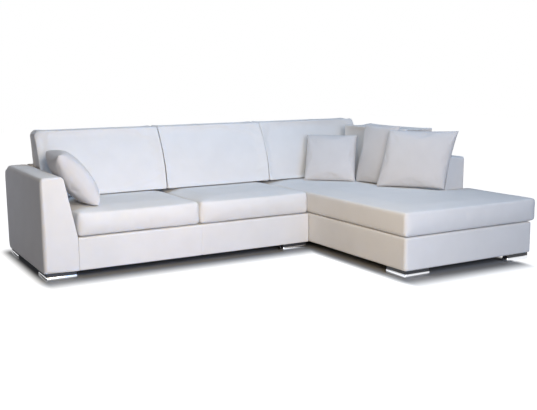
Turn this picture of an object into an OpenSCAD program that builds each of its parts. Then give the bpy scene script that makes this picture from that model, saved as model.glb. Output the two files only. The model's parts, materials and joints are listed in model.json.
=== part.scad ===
// Corner sofa in two upholstered modules: a two-seat module with the left arm and a chaise module
// with the right arm. Loose seat, back and side cushions and four throw pillows lie on the frames.
// Origin on the floor, below the middle of the whole sofa. X runs to the right, Y to the back.

/* [Overall] */
// Width over both modules with the chaise cushion's overhang
total_w = 2930; // [2700:10:3100]
// Depth from the chaise front to the rear
total_d = 2000; // [1900:10:2200]
// Depth of the two-seat module
sofa_d = 950; // [920:10:1000]
// Width of the chaise module
chaise_w = 1045; // [980:5:1100]
// How far the chaise cushion stands out over the right side of its base
overhang = 40; // [10:1:50]
// Gap between the two modules
module_gap = 2; // [1:1:6]

/* [Heights] */
// Height of a chromed foot
foot_h = 30; // [20:1:50]
// Height of the black spacer between foot and frame
spacer_h = 17; // [12:1:30]
// Height of the upholstered base
base_h = 205; // [180:1:240]
// Height of the arms and the back above the base
arm_h = 373; // [330:1:420]
// Thickness of a seat cushion at its crown
seat_t = 166; // [140:1:190]
// Height of a back cushion
back_cushion_h = 437; // [400:1:480]
// Height of the side cushion that leans on the right arm
side_cushion_h = 406; // [370:1:440]

/* [Arms and back] */
// Thickness of the arms and the back at the top
arm_top_w = 140; // [120:1:160]
// Thickness of the arms and the back at the base
arm_base_w = 215; // [200:1:240]
// Length of the right arm from the rear
right_arm_l = 1370; // [1200:10:1500]
// Radius of an arm's outer top edge
arm_round_out = 40; // [20:1:60]
// Radius of an arm's inner top edge
arm_round_in = 30; // [15:1:45]
// Radius of the rear top corner seen from the side
rear_round_top = 60; // [30:1:80]
// Radius of the rear bottom corner seen from the side
rear_round_low = 45; // [32:1:60]
// Radius of the base's upright corners
corner_round = 22; // [10:1:35]
// Radius of the base's top and bottom edges
edge_round = 12; // [6:1:18]

/* [Upholstery and frame] */
// Thickness of the foam and fabric over the frame
pad = 20; // [15:1:26]
// Thickness of the cover where it wraps round the rear bottom edge
wrap_t = 4; // [2:0.5:6]
// Thickness of the deck cloth
cloth_t = 3; // [2:0.5:5]
// Thickness of the foam sheet on the webbing
deck_foam_t = 12; // [8:1:18]
// Thickness of the black cloth under the base
dust_t = 1.5; // [1:0.5:3]
// Thickness of a timber rail
rail_t = 25; // [20:1:30]
// Width of the rails under the arms' and the back's inner faces
wide_rail = 40; // [34:1:50]
// Thickness of a plywood panel
ply_t = 18; // [12:1:22]
// Width of the board along the top of the arms and the back
board_w = 70; // [50:1:80]
// Leg length of a glued corner block
block_l = 150; // [130:1:155]
// Height of a corner block
block_h = 60; // [40:1:90]

/* [Webbing] */
// Width of an elastic strap
strap_w = 60; // [50:1:80]
// Thickness of an elastic strap
strap_t = 2.5; // [1.5:0.5:4]
// Straps from front to back under each seat cushion
straps_per_seat = 4; // [2:1:6]
// Straps from side to side under the two seats
straps_across = 4; // [3:1:6]
// Straps from front to back under the chaise
chaise_straps_long = 5; // [3:1:6]
// Straps from side to side under the chaise
chaise_straps_across = 9; // [6:1:12]

/* [Feet] */
// Length of each leg of an L-shaped foot
foot_l = 190; // [150:1:220]
// Width of each leg
foot_w = 50; // [48:1:65]
// Wall of the hollow foot
foot_wall = 3; // [2:0.5:5]
// Distance from the base's faces to the foot
foot_inset = 12; // [8:1:20]
// How much narrower the spacer is on every side
spacer_in = 5; // [4:1:8]
// Radius of a foot screw
screw_r = 4; // [3:0.5:5]
// Length of a foot screw
screw_l = 70; // [50:1:80]
// Clearance round a screw or a bolt
bolt_gap = 0.4; // [0.2:0.1:0.6]
// Radius of a bolt between the modules
bolt_r = 5; // [4:0.5:6]

/* [Cushions] */
// Rise of a seat cushion's crown over its top edge
seat_crown = 12; // [6:1:20]
// Bulge of a back cushion's front
back_crown = 18; // [8:1:24]
// Thickness of a back cushion at its foot
back_low_t = 268; // [240:1:290]
// Thickness of a back cushion at its top
back_top_t = 189; // [160:1:220]
// Thickness of the side cushion at its foot
side_low_t = 263; // [240:1:280]
// Thickness of the side cushion at its top
side_top_t = 265; // [240:1:290]
// Length of the side cushion
side_cushion_l = 735; // [650:5:800]
// Bulge of the side cushion's front
side_crown = 8; // [4:1:14]
// Radius of a cushion's upright corners
cushion_round = 26; // [15:1:40]
// How far a cushion's sides pull in between its corners
draw_in = 4; // [2:1:8]
// Thickness of a cushion's cover with its fibre wrap
cover_t = 14; // [10:1:20]
// Gap between soft pieces that lift off by themselves
soft_gap = 0.3; // [0.2:0.1:1]
// Gap between neighbouring cushions
cushion_gap = 3; // [2:1:6]
// How far the seam between the two seats lies left of their middle
seam_shift = 10; // [0:1:30]
// How far the left back cushion's foot draws in where it clears the sloping arm
arm_clear = 25; // [24:1:32]
// How far the side cushion's rear end leans forward at its foot
side_lean_in = 55; // [50:1:70]

/* [Pillows] */
// How far a pillow's edges pull in between its corners, as a share of half its width
pillow_draw = 0.06; // [0.03:0.01:0.1]

/* [Left arm pillow] */
// Width
arm_pillow_w = 380; // [350:1:390]
// Height along its face
arm_pillow_h = 390; // [360:1:400]
// Half thickness towards its front
arm_pillow_front = 100; // [60:1:110]
// Half thickness towards its rear
arm_pillow_rear = 70; // [45:1:72]
// Distance of its foot from the left arm's inner face
arm_pillow_x = 160; // [158:1:190]
// Distance of its front corner from the back cushions' feet
arm_pillow_y = 417; // [405:1:450]
// Turn of its foot away from the width, clockwise seen from above
arm_pillow_turn = -86; // [-92:1:-82]
// Lean from the upright
arm_pillow_tilt = 36; // [34:1:40]

/* [Corner pillow] */
// Width
corner_pillow_w = 390; // [370:1:400]
// Height along its face
corner_pillow_h = 374; // [340:1:385]
// Half thickness towards its front
corner_pillow_front = 60; // [40:1:75]
// Half thickness towards its rear
corner_pillow_rear = 40; // [25:1:42]
// Distance of its left foot from the right arm's inner face
corner_pillow_x = 590; // [580:1:600]
// Distance of its left foot from the back cushions' feet
corner_pillow_y = 53; // [50:1:70]
// Turn of its foot away from the width, clockwise seen from above
corner_pillow_turn = 46; // [44:1:50]
// Lean from the upright
corner_pillow_tilt = 27; // [22:1:29]

/* [Side cushion pillow] */
// Width
side_pillow_w = 350; // [320:1:360]
// Height along its face
side_pillow_h = 436; // [400:1:450]
// Half thickness towards its front
side_pillow_front = 50; // [30:1:52]
// Half thickness towards its rear
side_pillow_rear = 18; // [12:1:20]
// Distance of its rear foot from the right arm's inner face
side_pillow_x = 304; // [300:1:310]
// Distance of its rear foot from the back cushions' feet
side_pillow_y = 321; // [315:1:330]
// Turn of its foot away from the width, clockwise seen from above
side_pillow_turn = 83.5; // [82:0.5:85]
// Lean from the upright
side_pillow_tilt = 13.4; // [12.4:0.1:13.6]

/* [Front pillow] */
// Width
front_pillow_w = 482; // [450:1:500]
// Height along its face
front_pillow_h = 404; // [380:1:430]
// Half thickness towards its front
front_pillow_front = 75; // [50:1:90]
// Half thickness towards its rear
front_pillow_rear = 38; // [25:1:40]
// Distance of its left foot from the right arm's inner face
front_pillow_x = 346; // [340:1:356]
// Distance of its left foot from the back cushions' feet
front_pillow_y = 622; // [616:1:640]
// Turn of its foot away from the width, clockwise seen from above
front_pillow_turn = 53; // [51:1:54]
// Lean from the upright
front_pillow_tilt = 10.3; // [9:0.1:10.5]

/* [Hidden] */

// Levels
base_z = foot_h + spacer_h;
frame_z = base_z + dust_t;
deck_z = base_z + base_h;
arm_top_z = deck_z + arm_h;
rail_top = deck_z - cloth_t - deck_foam_t - 2 * strap_t;
foam_z = rail_top + 2 * strap_t;
seat_z = deck_z + soft_gap;
seat_top = seat_z + seat_t;

// Lines across the width and along the depth
left_x = -total_w / 2;
right_x = total_w / 2 - overhang;
split_x = right_x - chaise_w;
sofa_right = split_x - module_gap / 2;
chaise_left = split_x + module_gap / 2;
left_in = left_x + arm_base_w;
right_in = right_x - arm_base_w;
back_y = total_d / 2;
back_in = back_y - arm_base_w;
sofa_front = back_y - sofa_d;
chaise_front = -total_d / 2;
arm_front = back_y - right_arm_l;
seat_split = (left_in + split_x) / 2 - seam_shift;

// Slope of the arms' and the back's inner face, and its sideways place at a height
lean = (arm_base_w - arm_top_w) / arm_h;
function wall_at(z) = arm_base_w - (z - deck_z) * lean;

// Names of the sub-parts

// Colours
FABRIC = [0.93, 0.93, 0.95];
PILLOW_FABRIC = [0.86, 0.86, 0.91];
TIMBER = [0.80, 0.66, 0.46];
PLYWOOD = [0.85, 0.73, 0.53];
FOAM = [0.93, 0.90, 0.72];
STRAP = [0.35, 0.33, 0.30];
DUST = [0.09, 0.09, 0.10];
CHROME = [0.80, 0.82, 0.84];
PLASTIC = [0.06, 0.06, 0.07];
STEEL = [0.60, 0.61, 0.63];

// Points of the arc that rounds corner b between a and c with radius r in n steps
function corner_arc(a, b, c, r, n) = r <= 0 ? [b] :
    let (u = (a - b) / norm(a - b),
         v = (c - b) / norm(c - b),
         half = acos(u * v) / 2,
         o = b + (u + v) / norm(u + v) * r / sin(half),
         p = b + u * r / tan(half) - o,
         q = b + v * r / tan(half) - o,
         start = atan2(p.y, p.x),
         sweep = (atan2(q.y, q.x) - start + 540) % 360 - 180)
    [for (k = [0:n]) o + r * [cos(start + sweep * k / n), sin(start + sweep * k / n)]];

// Outline pts with the corner of the same index rounded by each of radii
function rounded(pts, radii, n = 4) = [for (i = [0:len(pts) - 1])
    each corner_arc(pts[(i + len(pts) - 1) % len(pts)], pts[i], pts[(i + 1) % len(pts)], radii[i], n)];

// Inward normal of the edge from a to b of a counterclockwise outline
function inward(a, b) = [a.y - b.y, b.x - a.x] / norm(b - a);

// Outline with square corners drawn inwards by d
function inset(pts, d) = [for (i = [0:len(pts) - 1])
    let (a = pts[(i + len(pts) - 1) % len(pts)], b = pts[i], c = pts[(i + 1) % len(pts)])
    b + d * (inward(a, b) + inward(b, c))];

function rect(x0, x1, y0, y1) = [[x0, y0], [x1, y0], [x1, y1], [x0, y1]];

module block(x0, x1, y0, y1, z0, z1) {
    translate([x0, y0, z0]) cube([x1 - x0, y1 - y0, z1 - z0]);
}

// Outline in Y and Z drawn along X
module prism_x(x0, x1, pts) {
    translate([x0, 0, 0]) rotate([90, 0, 90]) linear_extrude(x1 - x0) polygon(pts);
}

// Outline in X and Z drawn along Y
module prism_y(y0, y1, pts) {
    translate([0, y1, 0]) rotate([90, 0, 0]) linear_extrude(y1 - y0) polygon(pts);
}

module prism_z(z0, z1, pts) {
    translate([0, 0, z0]) linear_extrude(z1 - z0) polygon(pts);
}

// Section of an arm or a back, t measured from its outer face, drawn inwards by d
function wall_section(d, z0) =
    let (side = d * sqrt(1 + lean * lean), top = arm_top_z - d)
    [[d, z0], [d, top], [wall_at(top) - side, top], [wall_at(max(z0, deck_z)) - side, max(z0, deck_z)],
     [wall_at(deck_z) - side, z0]];

// The section with its top edges rounded; drawn inwards, it runs on below the base
function wall_outline(d) = rounded(wall_section(d, d > 0 ? base_z - 3 : base_z),
    [d > 0 ? 0 : edge_round / 2, max(2, arm_round_out - d), max(2, arm_round_in - d), 0, 0]);

// The wall turned so that its outer face is at the left, at the right or at the rear
function from_left(pts) = [for (p = pts) [left_x + p.x, p.y]];
function from_right(pts) = [for (p = pts) [right_x - p.x, p.y]];
function from_rear(pts) = [for (p = pts) [back_y - p.x, p.y]];

// Side view of a module from y0 to the rear, with its rounded rear corners
function side_view(y0) = rounded(
    [[y0, base_z], [back_y, base_z], [back_y, arm_top_z], [y0, arm_top_z]],
    [edge_round / 2, rear_round_low, rear_round_top, edge_round / 2]);

// Side view of the room inside the covers, down through the open bottom
function inner_view(y0) =
    let (r = rear_round_low - wrap_t,
         c = [back_y - rear_round_low, base_z + rear_round_low],
         last = acos((rear_round_low - pad) / r),
         top = arm_top_z - pad)
    concat([[y0, base_z - 3], [c.x, base_z - 3]],
        [for (k = [0:4]) let (a = (90 - last) * k / 4 - 90) c + r * [cos(a), sin(a)]],
        corner_arc([back_y - pad, c.y], [back_y - pad, top], [y0, top], rear_round_top - pad, 4),
        [[y0, top]]);

module inside(y0) {
    prism_x(left_x - 1, right_x + 1, inner_view(y0));
}

// Room for the frame inside an arm's cover
module arm_room(y0, turn) {
    intersection() {
        prism_y(y0 + pad, back_y, turn(wall_outline(pad)));
        inside(y0);
    }
}

// Arm cover: a shell over the arm's frame, open below, and open to the base below the deck
module arm_cover(y0, turn, front_open) {
    y1 = front_open ? y0 - 1 : y0 + pad;
    difference() {
        intersection() {
            prism_y(y0, back_y, turn(wall_outline(0)));
            prism_x(left_x - 1, right_x + 1, side_view(y0));
        }
        arm_room(y0, turn);
        intersection() {
            prism_y(y1, back_y, turn([[pad, base_z - 2], [pad, rail_top], [arm_base_w + 1, rail_top],
                [arm_base_w + 1, base_z - 2]]));
            inside(y0 - 2);
        }
    }
}

// Inner face of an arm as a body that cuts the back's end to fit
module arm_body(turn) {
    prism_y(sofa_front - total_d, back_y + 1, turn([[-1, base_z - 3], [-1, arm_top_z + 1],
        [wall_at(arm_top_z + 1), arm_top_z + 1], [arm_base_w, deck_z], [arm_base_w, base_z - 3]]));
}

// Room for the frame inside a back's cover
module back_room(x0, x1) {
    intersection() {
        prism_x(x0, x1, from_rear(wall_outline(pad)));
        inside(back_in - 2);
    }
}

// Back cover between x0 and x1, a shell open below, with a closed end where the modules meet and
// the other end cut to fit the arm
module back_cover(x0, x1, turn, arm_at_left) {
    e0 = arm_at_left ? x0 - 1 : x0 + pad;
    e1 = arm_at_left ? x1 - pad : x1 + 1;
    difference() {
        intersection() {
            prism_x(x0, x1, from_rear(wall_outline(0)));
            prism_x(x0 - 1, x1 + 1, side_view(sofa_front));
        }
        back_room(e0, e1);
        intersection() {
            block(e0, e1, back_in - 1, back_y, base_z - 2, rail_top);
            inside(back_in - 2);
        }
        arm_body(turn);
    }
}

// Rounded box that the upholstered base is cut from; the radii are those of the upright corners
module soft_base(x0, x1, y0, y1, corners, round_left, round_right) {
    lr = round_left ? edge_round : 0;
    rr = round_right ? edge_round : 0;
    intersection() {
        prism_z(base_z, deck_z, rounded(rect(x0, x1, y0, y1), corners));
        prism_x(x0, x1, rounded(rect(y0, y1, base_z, deck_z), [edge_round / 2, 0, 0, edge_round]));
        prism_y(y0, y1, rounded(rect(x0, x1, base_z, deck_z), [lr / 2, rr / 2, rr, lr]));
    }
}

module sofa_base_cover() {
    color(FABRIC) difference() {
        soft_base(left_in, sofa_right, sofa_front, back_in, [0, corner_round, 0, 0], false, true);
        block(left_in - 1, sofa_right - pad, sofa_front + pad, back_in + 1, base_z - 1, deck_z - cloth_t);
        bolt_bores();
    }
}

module chaise_base_cover() {
    color(FABRIC) difference() {
        union() {
            soft_base(chaise_left, right_x, chaise_front, arm_front, [corner_round, corner_round, 0, 0],
                true, true);
            soft_base(chaise_left, right_in, arm_front - 2 * pad, back_in, [0, 0, 0, 0], true, false);
        }
        block(chaise_left + pad, right_x - pad, chaise_front + pad, arm_front + 1, base_z - 1,
            deck_z - cloth_t);
        block(chaise_left + pad, right_in + 1, arm_front - pad, back_in + 1, base_z - 1, deck_z - cloth_t);
        bolt_bores();
    }
}

module left_arm_cover() {
    color(FABRIC) arm_cover(sofa_front, function(p) from_left(p), false);
}

// The chaise's base runs on below the right arm, so this cover's front is open below the deck
module right_arm_cover() {
    color(FABRIC) arm_cover(arm_front, function(p) from_right(p), true);
}

module sofa_back_cover() {
    color(FABRIC) back_cover(left_x, sofa_right, function(p) from_left(p), true);
}

module chaise_back_cover() {
    color(FABRIC) back_cover(chaise_left, right_x, function(p) from_right(p), false);
}

// Timber base: rails along X at the listed depths
module long_rail(x0, x1, y, t) {
    block(x0, x1, y, y + t, frame_z, rail_top);
}

sofa_x0 = left_x + pad;
sofa_x1 = sofa_right - pad;
chaise_x0 = chaise_left + pad;
chaise_x1 = right_x - pad;
rear_rail_y = back_y - pad - rail_t;
deck_rail_y = back_in - wide_rail + rail_t / 2;
front_rail_end = sofa_front + pad + rail_t;

module sofa_long_rails() {
    color(TIMBER) intersection() {
        inside(chaise_front);
        union() {
            long_rail(sofa_x0, sofa_x1, sofa_front + pad, rail_t);
            long_rail(sofa_x0, sofa_x1, deck_rail_y, wide_rail);
            long_rail(sofa_x0, sofa_x1, rear_rail_y, rail_t);
        }
    }
}

module cross_rail(x, w, y0, y1) {
    block(x, x + w, y0, y1, frame_z, rail_top);
}

// Rails along Y between the long rails: at the ends, beside the arm and under the seat joint
sofa_cross = [[sofa_x0, rail_t], [left_in - rail_t / 2, wide_rail], [seat_split - wide_rail / 2, wide_rail],
              [sofa_x1 - rail_t, rail_t]];

module sofa_cross_rails() {
    color(TIMBER) difference() {
        intersection() {
            inside(chaise_front);
            for (c = sofa_cross) {
                cross_rail(c[0], c[1], front_rail_end, deck_rail_y);
                cross_rail(c[0], c[1], deck_rail_y + wide_rail, rear_rail_y);
            }
        }
        bolt_bores();
    }
}

chaise_rail_end = chaise_front + pad + rail_t;
arm_rail_y = arm_front + pad / 2;

module chaise_long_rails() {
    color(TIMBER) intersection() {
        inside(chaise_front);
        union() {
            long_rail(chaise_x0, chaise_x1, chaise_front + pad, rail_t);
            long_rail(chaise_x0 + rail_t, chaise_x1 - rail_t, arm_rail_y, wide_rail);
            long_rail(chaise_x0, chaise_x1, deck_rail_y, wide_rail);
            long_rail(chaise_x0, chaise_x1, rear_rail_y, rail_t);
        }
    }
}

module chaise_cross_rails() {
    arm_side = right_in - wide_rail + rail_t / 2;
    color(TIMBER) difference() {
        intersection() {
            inside(chaise_front);
            union() {
                for (x = [chaise_x0, chaise_x1 - rail_t]) {
                    cross_rail(x, rail_t, chaise_rail_end, deck_rail_y);
                    cross_rail(x, rail_t, deck_rail_y + wide_rail, rear_rail_y);
                }
                cross_rail(arm_side, wide_rail, chaise_rail_end, arm_rail_y);
                cross_rail(arm_side, wide_rail, arm_rail_y + wide_rail, deck_rail_y);
                cross_rail(arm_side, wide_rail, deck_rail_y + wide_rail, rear_rail_y);
            }
        }
        bolt_bores();
    }
}

// Profile of one strap through stations [place, level], level 1 where it passes over another
function strap_line(stations) = concat(
    [for (s = stations) [s[0], rail_top + s[1] * strap_t]],
    [for (k = [len(stations) - 1:-1:0]) [stations[k][0], rail_top + (stations[k][1] + 1) * strap_t]]);

// Stations of a strap from a to b that crosses those at places, over the ones of one parity
function stations(a, b, places, parity, low) =
    let (half = strap_w / 2 + 1)
    concat([[a, 0], [a + rail_t, 0]],
    [for (k = [0:len(places) - 1]) let (over = (k + parity) % 2) each concat(
        [[places[k] - half, over], [places[k] + half, over]],
        k < len(places) - 1 && low > places[k] && low < places[k + 1] ? [[low, 0]] : [])],
    [[b - rail_t, 0], [b, 0]]);

function spread(a, b, n) = [for (k = [0:n - 1]) a + (b - a) * (k + 0.5) / n];

// Woven web between x0..x1 and y0..y1, each strap over and under the crossing ones in turn
module web(x0, x1, y0, y1, xs, ys, low) {
    for (i = [0:len(xs) - 1]) {
        prism_x(xs[i] - strap_w / 2, xs[i] + strap_w / 2, strap_line(stations(y0, y1, ys, i, y0 - 1)));
    }
    for (j = [0:len(ys) - 1]) {
        prism_y(ys[j] - strap_w / 2, ys[j] + strap_w / 2, strap_line(stations(x0, x1, xs, j + 1, low)));
    }
}

module sofa_webbing() {
    x0 = left_in + 2;
    x1 = sofa_x1;
    xs = concat(spread(left_in + rail_t, seat_split - wide_rail / 2, straps_per_seat),
                spread(seat_split + wide_rail / 2, sofa_x1 - rail_t, straps_per_seat));
    ys = spread(front_rail_end, deck_rail_y, straps_across);
    color(STRAP) web(x0, x1, sofa_front + pad, back_in - 2, xs, ys, seat_split);
}

module chaise_webbing() {
    xs = spread(chaise_x0 + rail_t, right_in - wide_rail, chaise_straps_long);
    ys = spread(chaise_rail_end, deck_rail_y, chaise_straps_across);
    color(STRAP) web(chaise_x0, right_in - 2, chaise_front + pad, back_in - 2, xs, ys, chaise_left);
}

module sofa_deck_foam() {
    color(FOAM) block(left_in, sofa_x1, sofa_front + pad, back_in, foam_z, foam_z + deck_foam_t);
}

module chaise_deck_foam() {
    color(FOAM) prism_z(foam_z, foam_z + deck_foam_t, [[chaise_x0, chaise_front + pad],
        [chaise_x1, chaise_front + pad], [chaise_x1, arm_front - pad], [right_in, arm_front - pad],
        [right_in, back_in], [chaise_x0, back_in]]);
}

// Black cloth stapled under the rails, inside the upholstery's lower edge
module dust_cover(x0, x1, y0, corners) {
    color(DUST) difference() {
        block(x0, x1, y0 + pad, back_y - rear_round_low, base_z, frame_z);
        for (c = corners) screw_bores(c);
    }
}

module sofa_dust_cover() dust_cover(sofa_x0, sofa_x1, sofa_front, [for (k = [0:3]) CORNERS[k]]);
module chaise_dust_cover() dust_cover(chaise_x0, chaise_x1, chaise_front, [for (k = [4:7]) CORNERS[k]]);

// Opening cut in a panel to save weight, with chamfered corners, inside the section at a distance
function panel_hole(d) = let (z0 = rail_top + d, z1 = arm_top_z - pad - d,
    side = pad * sqrt(1 + lean * lean) + d)
    [[pad + d, z0 + d / 2], [pad + d * 1.5, z0], [wall_at(z0) - side - d / 2, z0],
     [wall_at(z1) - side, z1 - d / 2], [wall_at(z1) - side - d / 2, z1], [pad + d * 1.5, z1],
     [pad + d, z1 - d / 2]];

panel_section = wall_section(pad, rail_top);
hole_d = 34;

module arm_panel(y, turn) {
    difference() {
        prism_y(y, y + ply_t, turn(panel_section));
        prism_y(y - 1, y + ply_t + 1, turn(panel_hole(hole_d)));
    }
}

module back_rib(x) {
    difference() {
        prism_x(x, x + ply_t, from_rear(panel_section));
        prism_x(x - 1, x + ply_t + 1, from_rear(panel_hole(hole_d)));
    }
}

// Panels at the front, in the middle and near the rear, where the back frame begins
function arm_panels_y(y0) = [y0 + pad, (y0 + pad + back_in - ply_t) / 2, back_in - ply_t];

module arm_panels(y0, turn) {
    intersection() {
        arm_room(y0, turn);
        for (y = arm_panels_y(y0)) arm_panel(y, turn);
    }
}

module left_arm_panels() {
    color(PLYWOOD) arm_panels(sofa_front, function(p) from_left(p));
}

module right_arm_panels() {
    color(PLYWOOD) arm_panels(arm_front, function(p) from_right(p));
}

// Boards between the panels: one flat under the top, one on edge at the outside on the base rails
module arm_boards(y0, turn) {
    ys = arm_panels_y(y0);
    top = arm_top_z - pad;
    intersection() {
        arm_room(y0, turn);
        for (k = [0:1]) {
            prism_y(ys[k] + ply_t, ys[k + 1], turn([[pad, top - ply_t], [pad, top], [pad + board_w, top],
                [pad + board_w, top - ply_t]]));
            prism_y(ys[k] + ply_t, ys[k + 1], turn([[pad, rail_top], [pad, rail_top + board_w],
                [pad + ply_t, rail_top + board_w], [pad + ply_t, rail_top]]));
        }
    }
}

module left_arm_boards() {
    color(TIMBER) arm_boards(sofa_front, function(p) from_left(p));
}

module right_arm_boards() {
    color(TIMBER) arm_boards(arm_front, function(p) from_right(p));
}

// Rib places of each back, from the arm's inner side to the module's end
sofa_ribs = [left_in + wide_rail, seat_split - ply_t / 2, sofa_x1 - ply_t];
chaise_ribs = [chaise_x0, (chaise_x0 + right_in - wide_rail) / 2, right_in - wide_rail - ply_t];

module back_ribs(xs) {
    intersection() {
        back_room(xs[0] - 1, right_x);
        for (x = xs) back_rib(x);
    }
}

module sofa_back_ribs() {
    color(PLYWOOD) back_ribs(sofa_ribs);
}

module chaise_back_ribs() {
    color(PLYWOOD) back_ribs(chaise_ribs);
}

module back_boards(xs) {
    top = arm_top_z - pad;
    rear = back_y - pad;
    intersection() {
        back_room(xs[0] - 1, right_x);
        for (k = [0:len(xs) - 2]) {
            block(xs[k] + ply_t, xs[k + 1], rear - board_w, rear, top - ply_t, top);
            block(xs[k] + ply_t, xs[k + 1], rear - ply_t, rear, rail_top, rail_top + board_w);
        }
    }
}

module sofa_back_boards() {
    color(TIMBER) back_boards(sofa_ribs);
}

module chaise_back_boards() {
    color(TIMBER) back_boards(chaise_ribs);
}

// Corners that carry a foot: the corner's place, and the directions in which the foot's legs run
CORNERS = [[left_x, sofa_front, 1, 1], [left_x, back_y, 1, -1], [sofa_right, sofa_front, -1, 1],
           [sofa_right, back_y, -1, -1], [chaise_left, chaise_front, 1, 1], [chaise_left, back_y, 1, -1],
           [right_x, chaise_front, -1, 1], [right_x, back_y, -1, -1]];

module at_corner(c) {
    translate([c[0], c[1], 0]) scale([c[2], c[3], 1]) children();
}

// Screws stand inside the rails, clear of the rear edge's wrapped cover
block_in = pad + rail_t;
screw_off = max(block_in, rear_round_low) + screw_r + bolt_gap + 1;
leg_w = max(foot_w, screw_off + screw_r + bolt_gap + 2 + spacer_in - foot_inset);
block_leg = min(block_l, arm_base_w - rail_t / 2 - block_in - 2);
screw_far = min(foot_inset + foot_l - leg_w, block_in + block_leg - 25);
SCREWS = [[screw_off, screw_far], [screw_far, screw_off]];
plate_z = 6;
head_h = 4;

module screw_bores(c) {
    for (s = SCREWS) translate([c[0] + c[2] * s.x, c[1] + c[3] * s.y, 0])
        cylinder(r = screw_r + bolt_gap, h = plate_z + screw_l + 2, $fn = 16);
}

// L-shaped plan of a foot's two legs, drawn in by d from their edges
function ell(d) = let (a = foot_inset + d, b = foot_inset + leg_w - d, c = foot_inset + foot_l - d)
    [[a, a], [c, a], [c, b], [b, b], [b, c], [a, c]];

// Chromed foot: an L-shaped shell with a plate inside, bored for two screws
module foot(c) {
    color(CHROME) difference() {
        at_corner(c) difference() {
            prism_z(0, foot_h, ell(0));
            prism_z(-1, plate_z, ell(foot_wall));
            prism_z(plate_z + foot_wall, foot_h + 1, ell(foot_wall));
        }
        screw_bores(c);
    }
}

module foot_left_front() foot(CORNERS[0]);
module foot_left_rear() foot(CORNERS[1]);
module foot_inner_front() foot(CORNERS[2]);
module foot_inner_rear() foot(CORNERS[3]);
module foot_chaise_inner_front() foot(CORNERS[4]);
module foot_chaise_inner_rear() foot(CORNERS[5]);
module foot_chaise_front() foot(CORNERS[6]);
module foot_chaise_rear() foot(CORNERS[7]);

module foot_spacers() {
    color(PLASTIC) for (c = CORNERS) difference() {
        at_corner(c) prism_z(plate_z + foot_wall, base_z, ell(spacer_in));
        screw_bores(c);
    }
}

// Screw with its head below the foot's plate, up through the spacer into the corner block
module foot_screws() {
    color(STEEL) for (c = CORNERS, s = SCREWS) translate([c[0] + c[2] * s.x, c[1] + c[3] * s.y, 0]) {
        translate([0, 0, plate_z - head_h]) cylinder(r = 1.9 * screw_r, h = head_h, $fn = 16);
        translate([0, 0, plate_z - 0.1]) cylinder(r = screw_r, h = screw_l, $fn = 16);
    }
}

// Triangular blocks glued in the corners of the base, bored for the screws
block_z = base_z + (rear_round_low > block_in ? rear_round_low
    - sqrt(pow(rear_round_low - wrap_t, 2) - pow(rear_round_low - block_in, 2)) : wrap_t) + 0.2;

module corner_blocks() {
    a = block_in;
    color(TIMBER) for (c = CORNERS) difference() {
        at_corner(c) prism_z(block_z, block_z + block_h, [[a, a], [a + block_leg, a], [a, a + block_leg]]);
        screw_bores(c);
    }
}

// Bolts through both modules' side rails
BOLTS = [sofa_front + sofa_d / 4, back_in - sofa_d / 6];
bolt_z = (frame_z + rail_top) / 2 + block_h / 4;
bolt_x0 = sofa_x1 - rail_t;
bolt_x1 = chaise_x0 + rail_t;

module bolt_bores() {
    for (y = BOLTS) translate([bolt_x0 - 1, y, bolt_z]) rotate([0, 90, 0])
        cylinder(r = bolt_r + bolt_gap, h = bolt_x1 - bolt_x0 + 2, $fn = 20);
}

module module_bolts() {
    color(STEEL) for (y = BOLTS) translate([bolt_x0, y, bolt_z]) rotate([0, 90, 0]) {
        cylinder(r = bolt_r, h = bolt_x1 - bolt_x0 + 3 * bolt_r, $fn = 20);
        translate([0, 0, -1.3 * bolt_r]) cylinder(r = 1.8 * bolt_r, h = 1.3 * bolt_r, $fn = 6);
    }
}

module module_nuts() {
    color(STEEL) for (y = BOLTS) translate([bolt_x1, y, bolt_z]) rotate([0, 90, 0]) difference() {
        cylinder(r = 1.8 * bolt_r, h = 1.6 * bolt_r, $fn = 6);
        translate([0, 0, -1]) cylinder(r = bolt_r + 0.05, h = 1.6 * bolt_r + 2, $fn = 20);
    }
}

// Closed body through rings of equally many points, from the first flat end to the last
module loft(rings, first, last) {
    m = len(rings[0]);
    n = len(rings);
    body = [for (k = [0:n - 2], i = [0:m - 1]) let (j = (i + 1) % m, a = k * m) each
        [[a + i, a + m + j, a + j], [a + i, a + m + i, a + m + j]]];
    low = [for (i = [0:m - 1]) [n * m, i, (i + 1) % m]];
    high = [for (i = [0:m - 1]) [n * m + 1, (n - 1) * m + (i + 1) % m, (n - 1) * m + i]];
    polyhedron(concat([for (r = rings) each r], [first, last]), concat(low, body, high));
}

// Points between the ends of an outline's straight sides, pulled in between the corners
function pulled(pts, q, per_side, per_corner) =
    let (sides = len(pts) / (per_corner + 1))
    [for (s = [0:sides - 1]) each concat(
        [for (k = [0:per_corner]) pts[s * (per_corner + 1) + k]],
        let (a = pts[s * (per_corner + 1) + per_corner], b = pts[((s + 1) * (per_corner + 1)) % len(pts)])
        [for (k = [1:per_side]) let (t = k / (per_side + 1))
            a + (b - a) * t + inward(a, b) * q * sin(180 * t)])];

// Outline of a stuffed cushion, inset by d, with softened corners and drawn-in sides
function turns_left(a, b, c) = (b - a).x * (c - b).y > (b - a).y * (c - b).x;
function soft_radii(pts, d) = [for (i = [0:len(pts) - 1])
    turns_left(pts[(i + len(pts) - 1) % len(pts)], pts[i], pts[(i + 1) % len(pts)])
        ? max(4, cushion_round - d) : cushion_gap + 1];
function soft_outline(pts, d) = pulled(rounded(inset(pts, d), soft_radii(pts, d), 3), draw_in, 3, 3);

// Seat cushion: inset and height of each ring, boxed sides and a crown that is flat on top
edge_z = seat_t - seat_crown;
SEAT_RINGS = [[16, 0], [5, 4], [0, 16], [2, edge_z / 2], [0, edge_z - 26], [5, edge_z - 9],
              [16, edge_z], [55, edge_z + 0.65 * seat_crown], [110, seat_t]];

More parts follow.
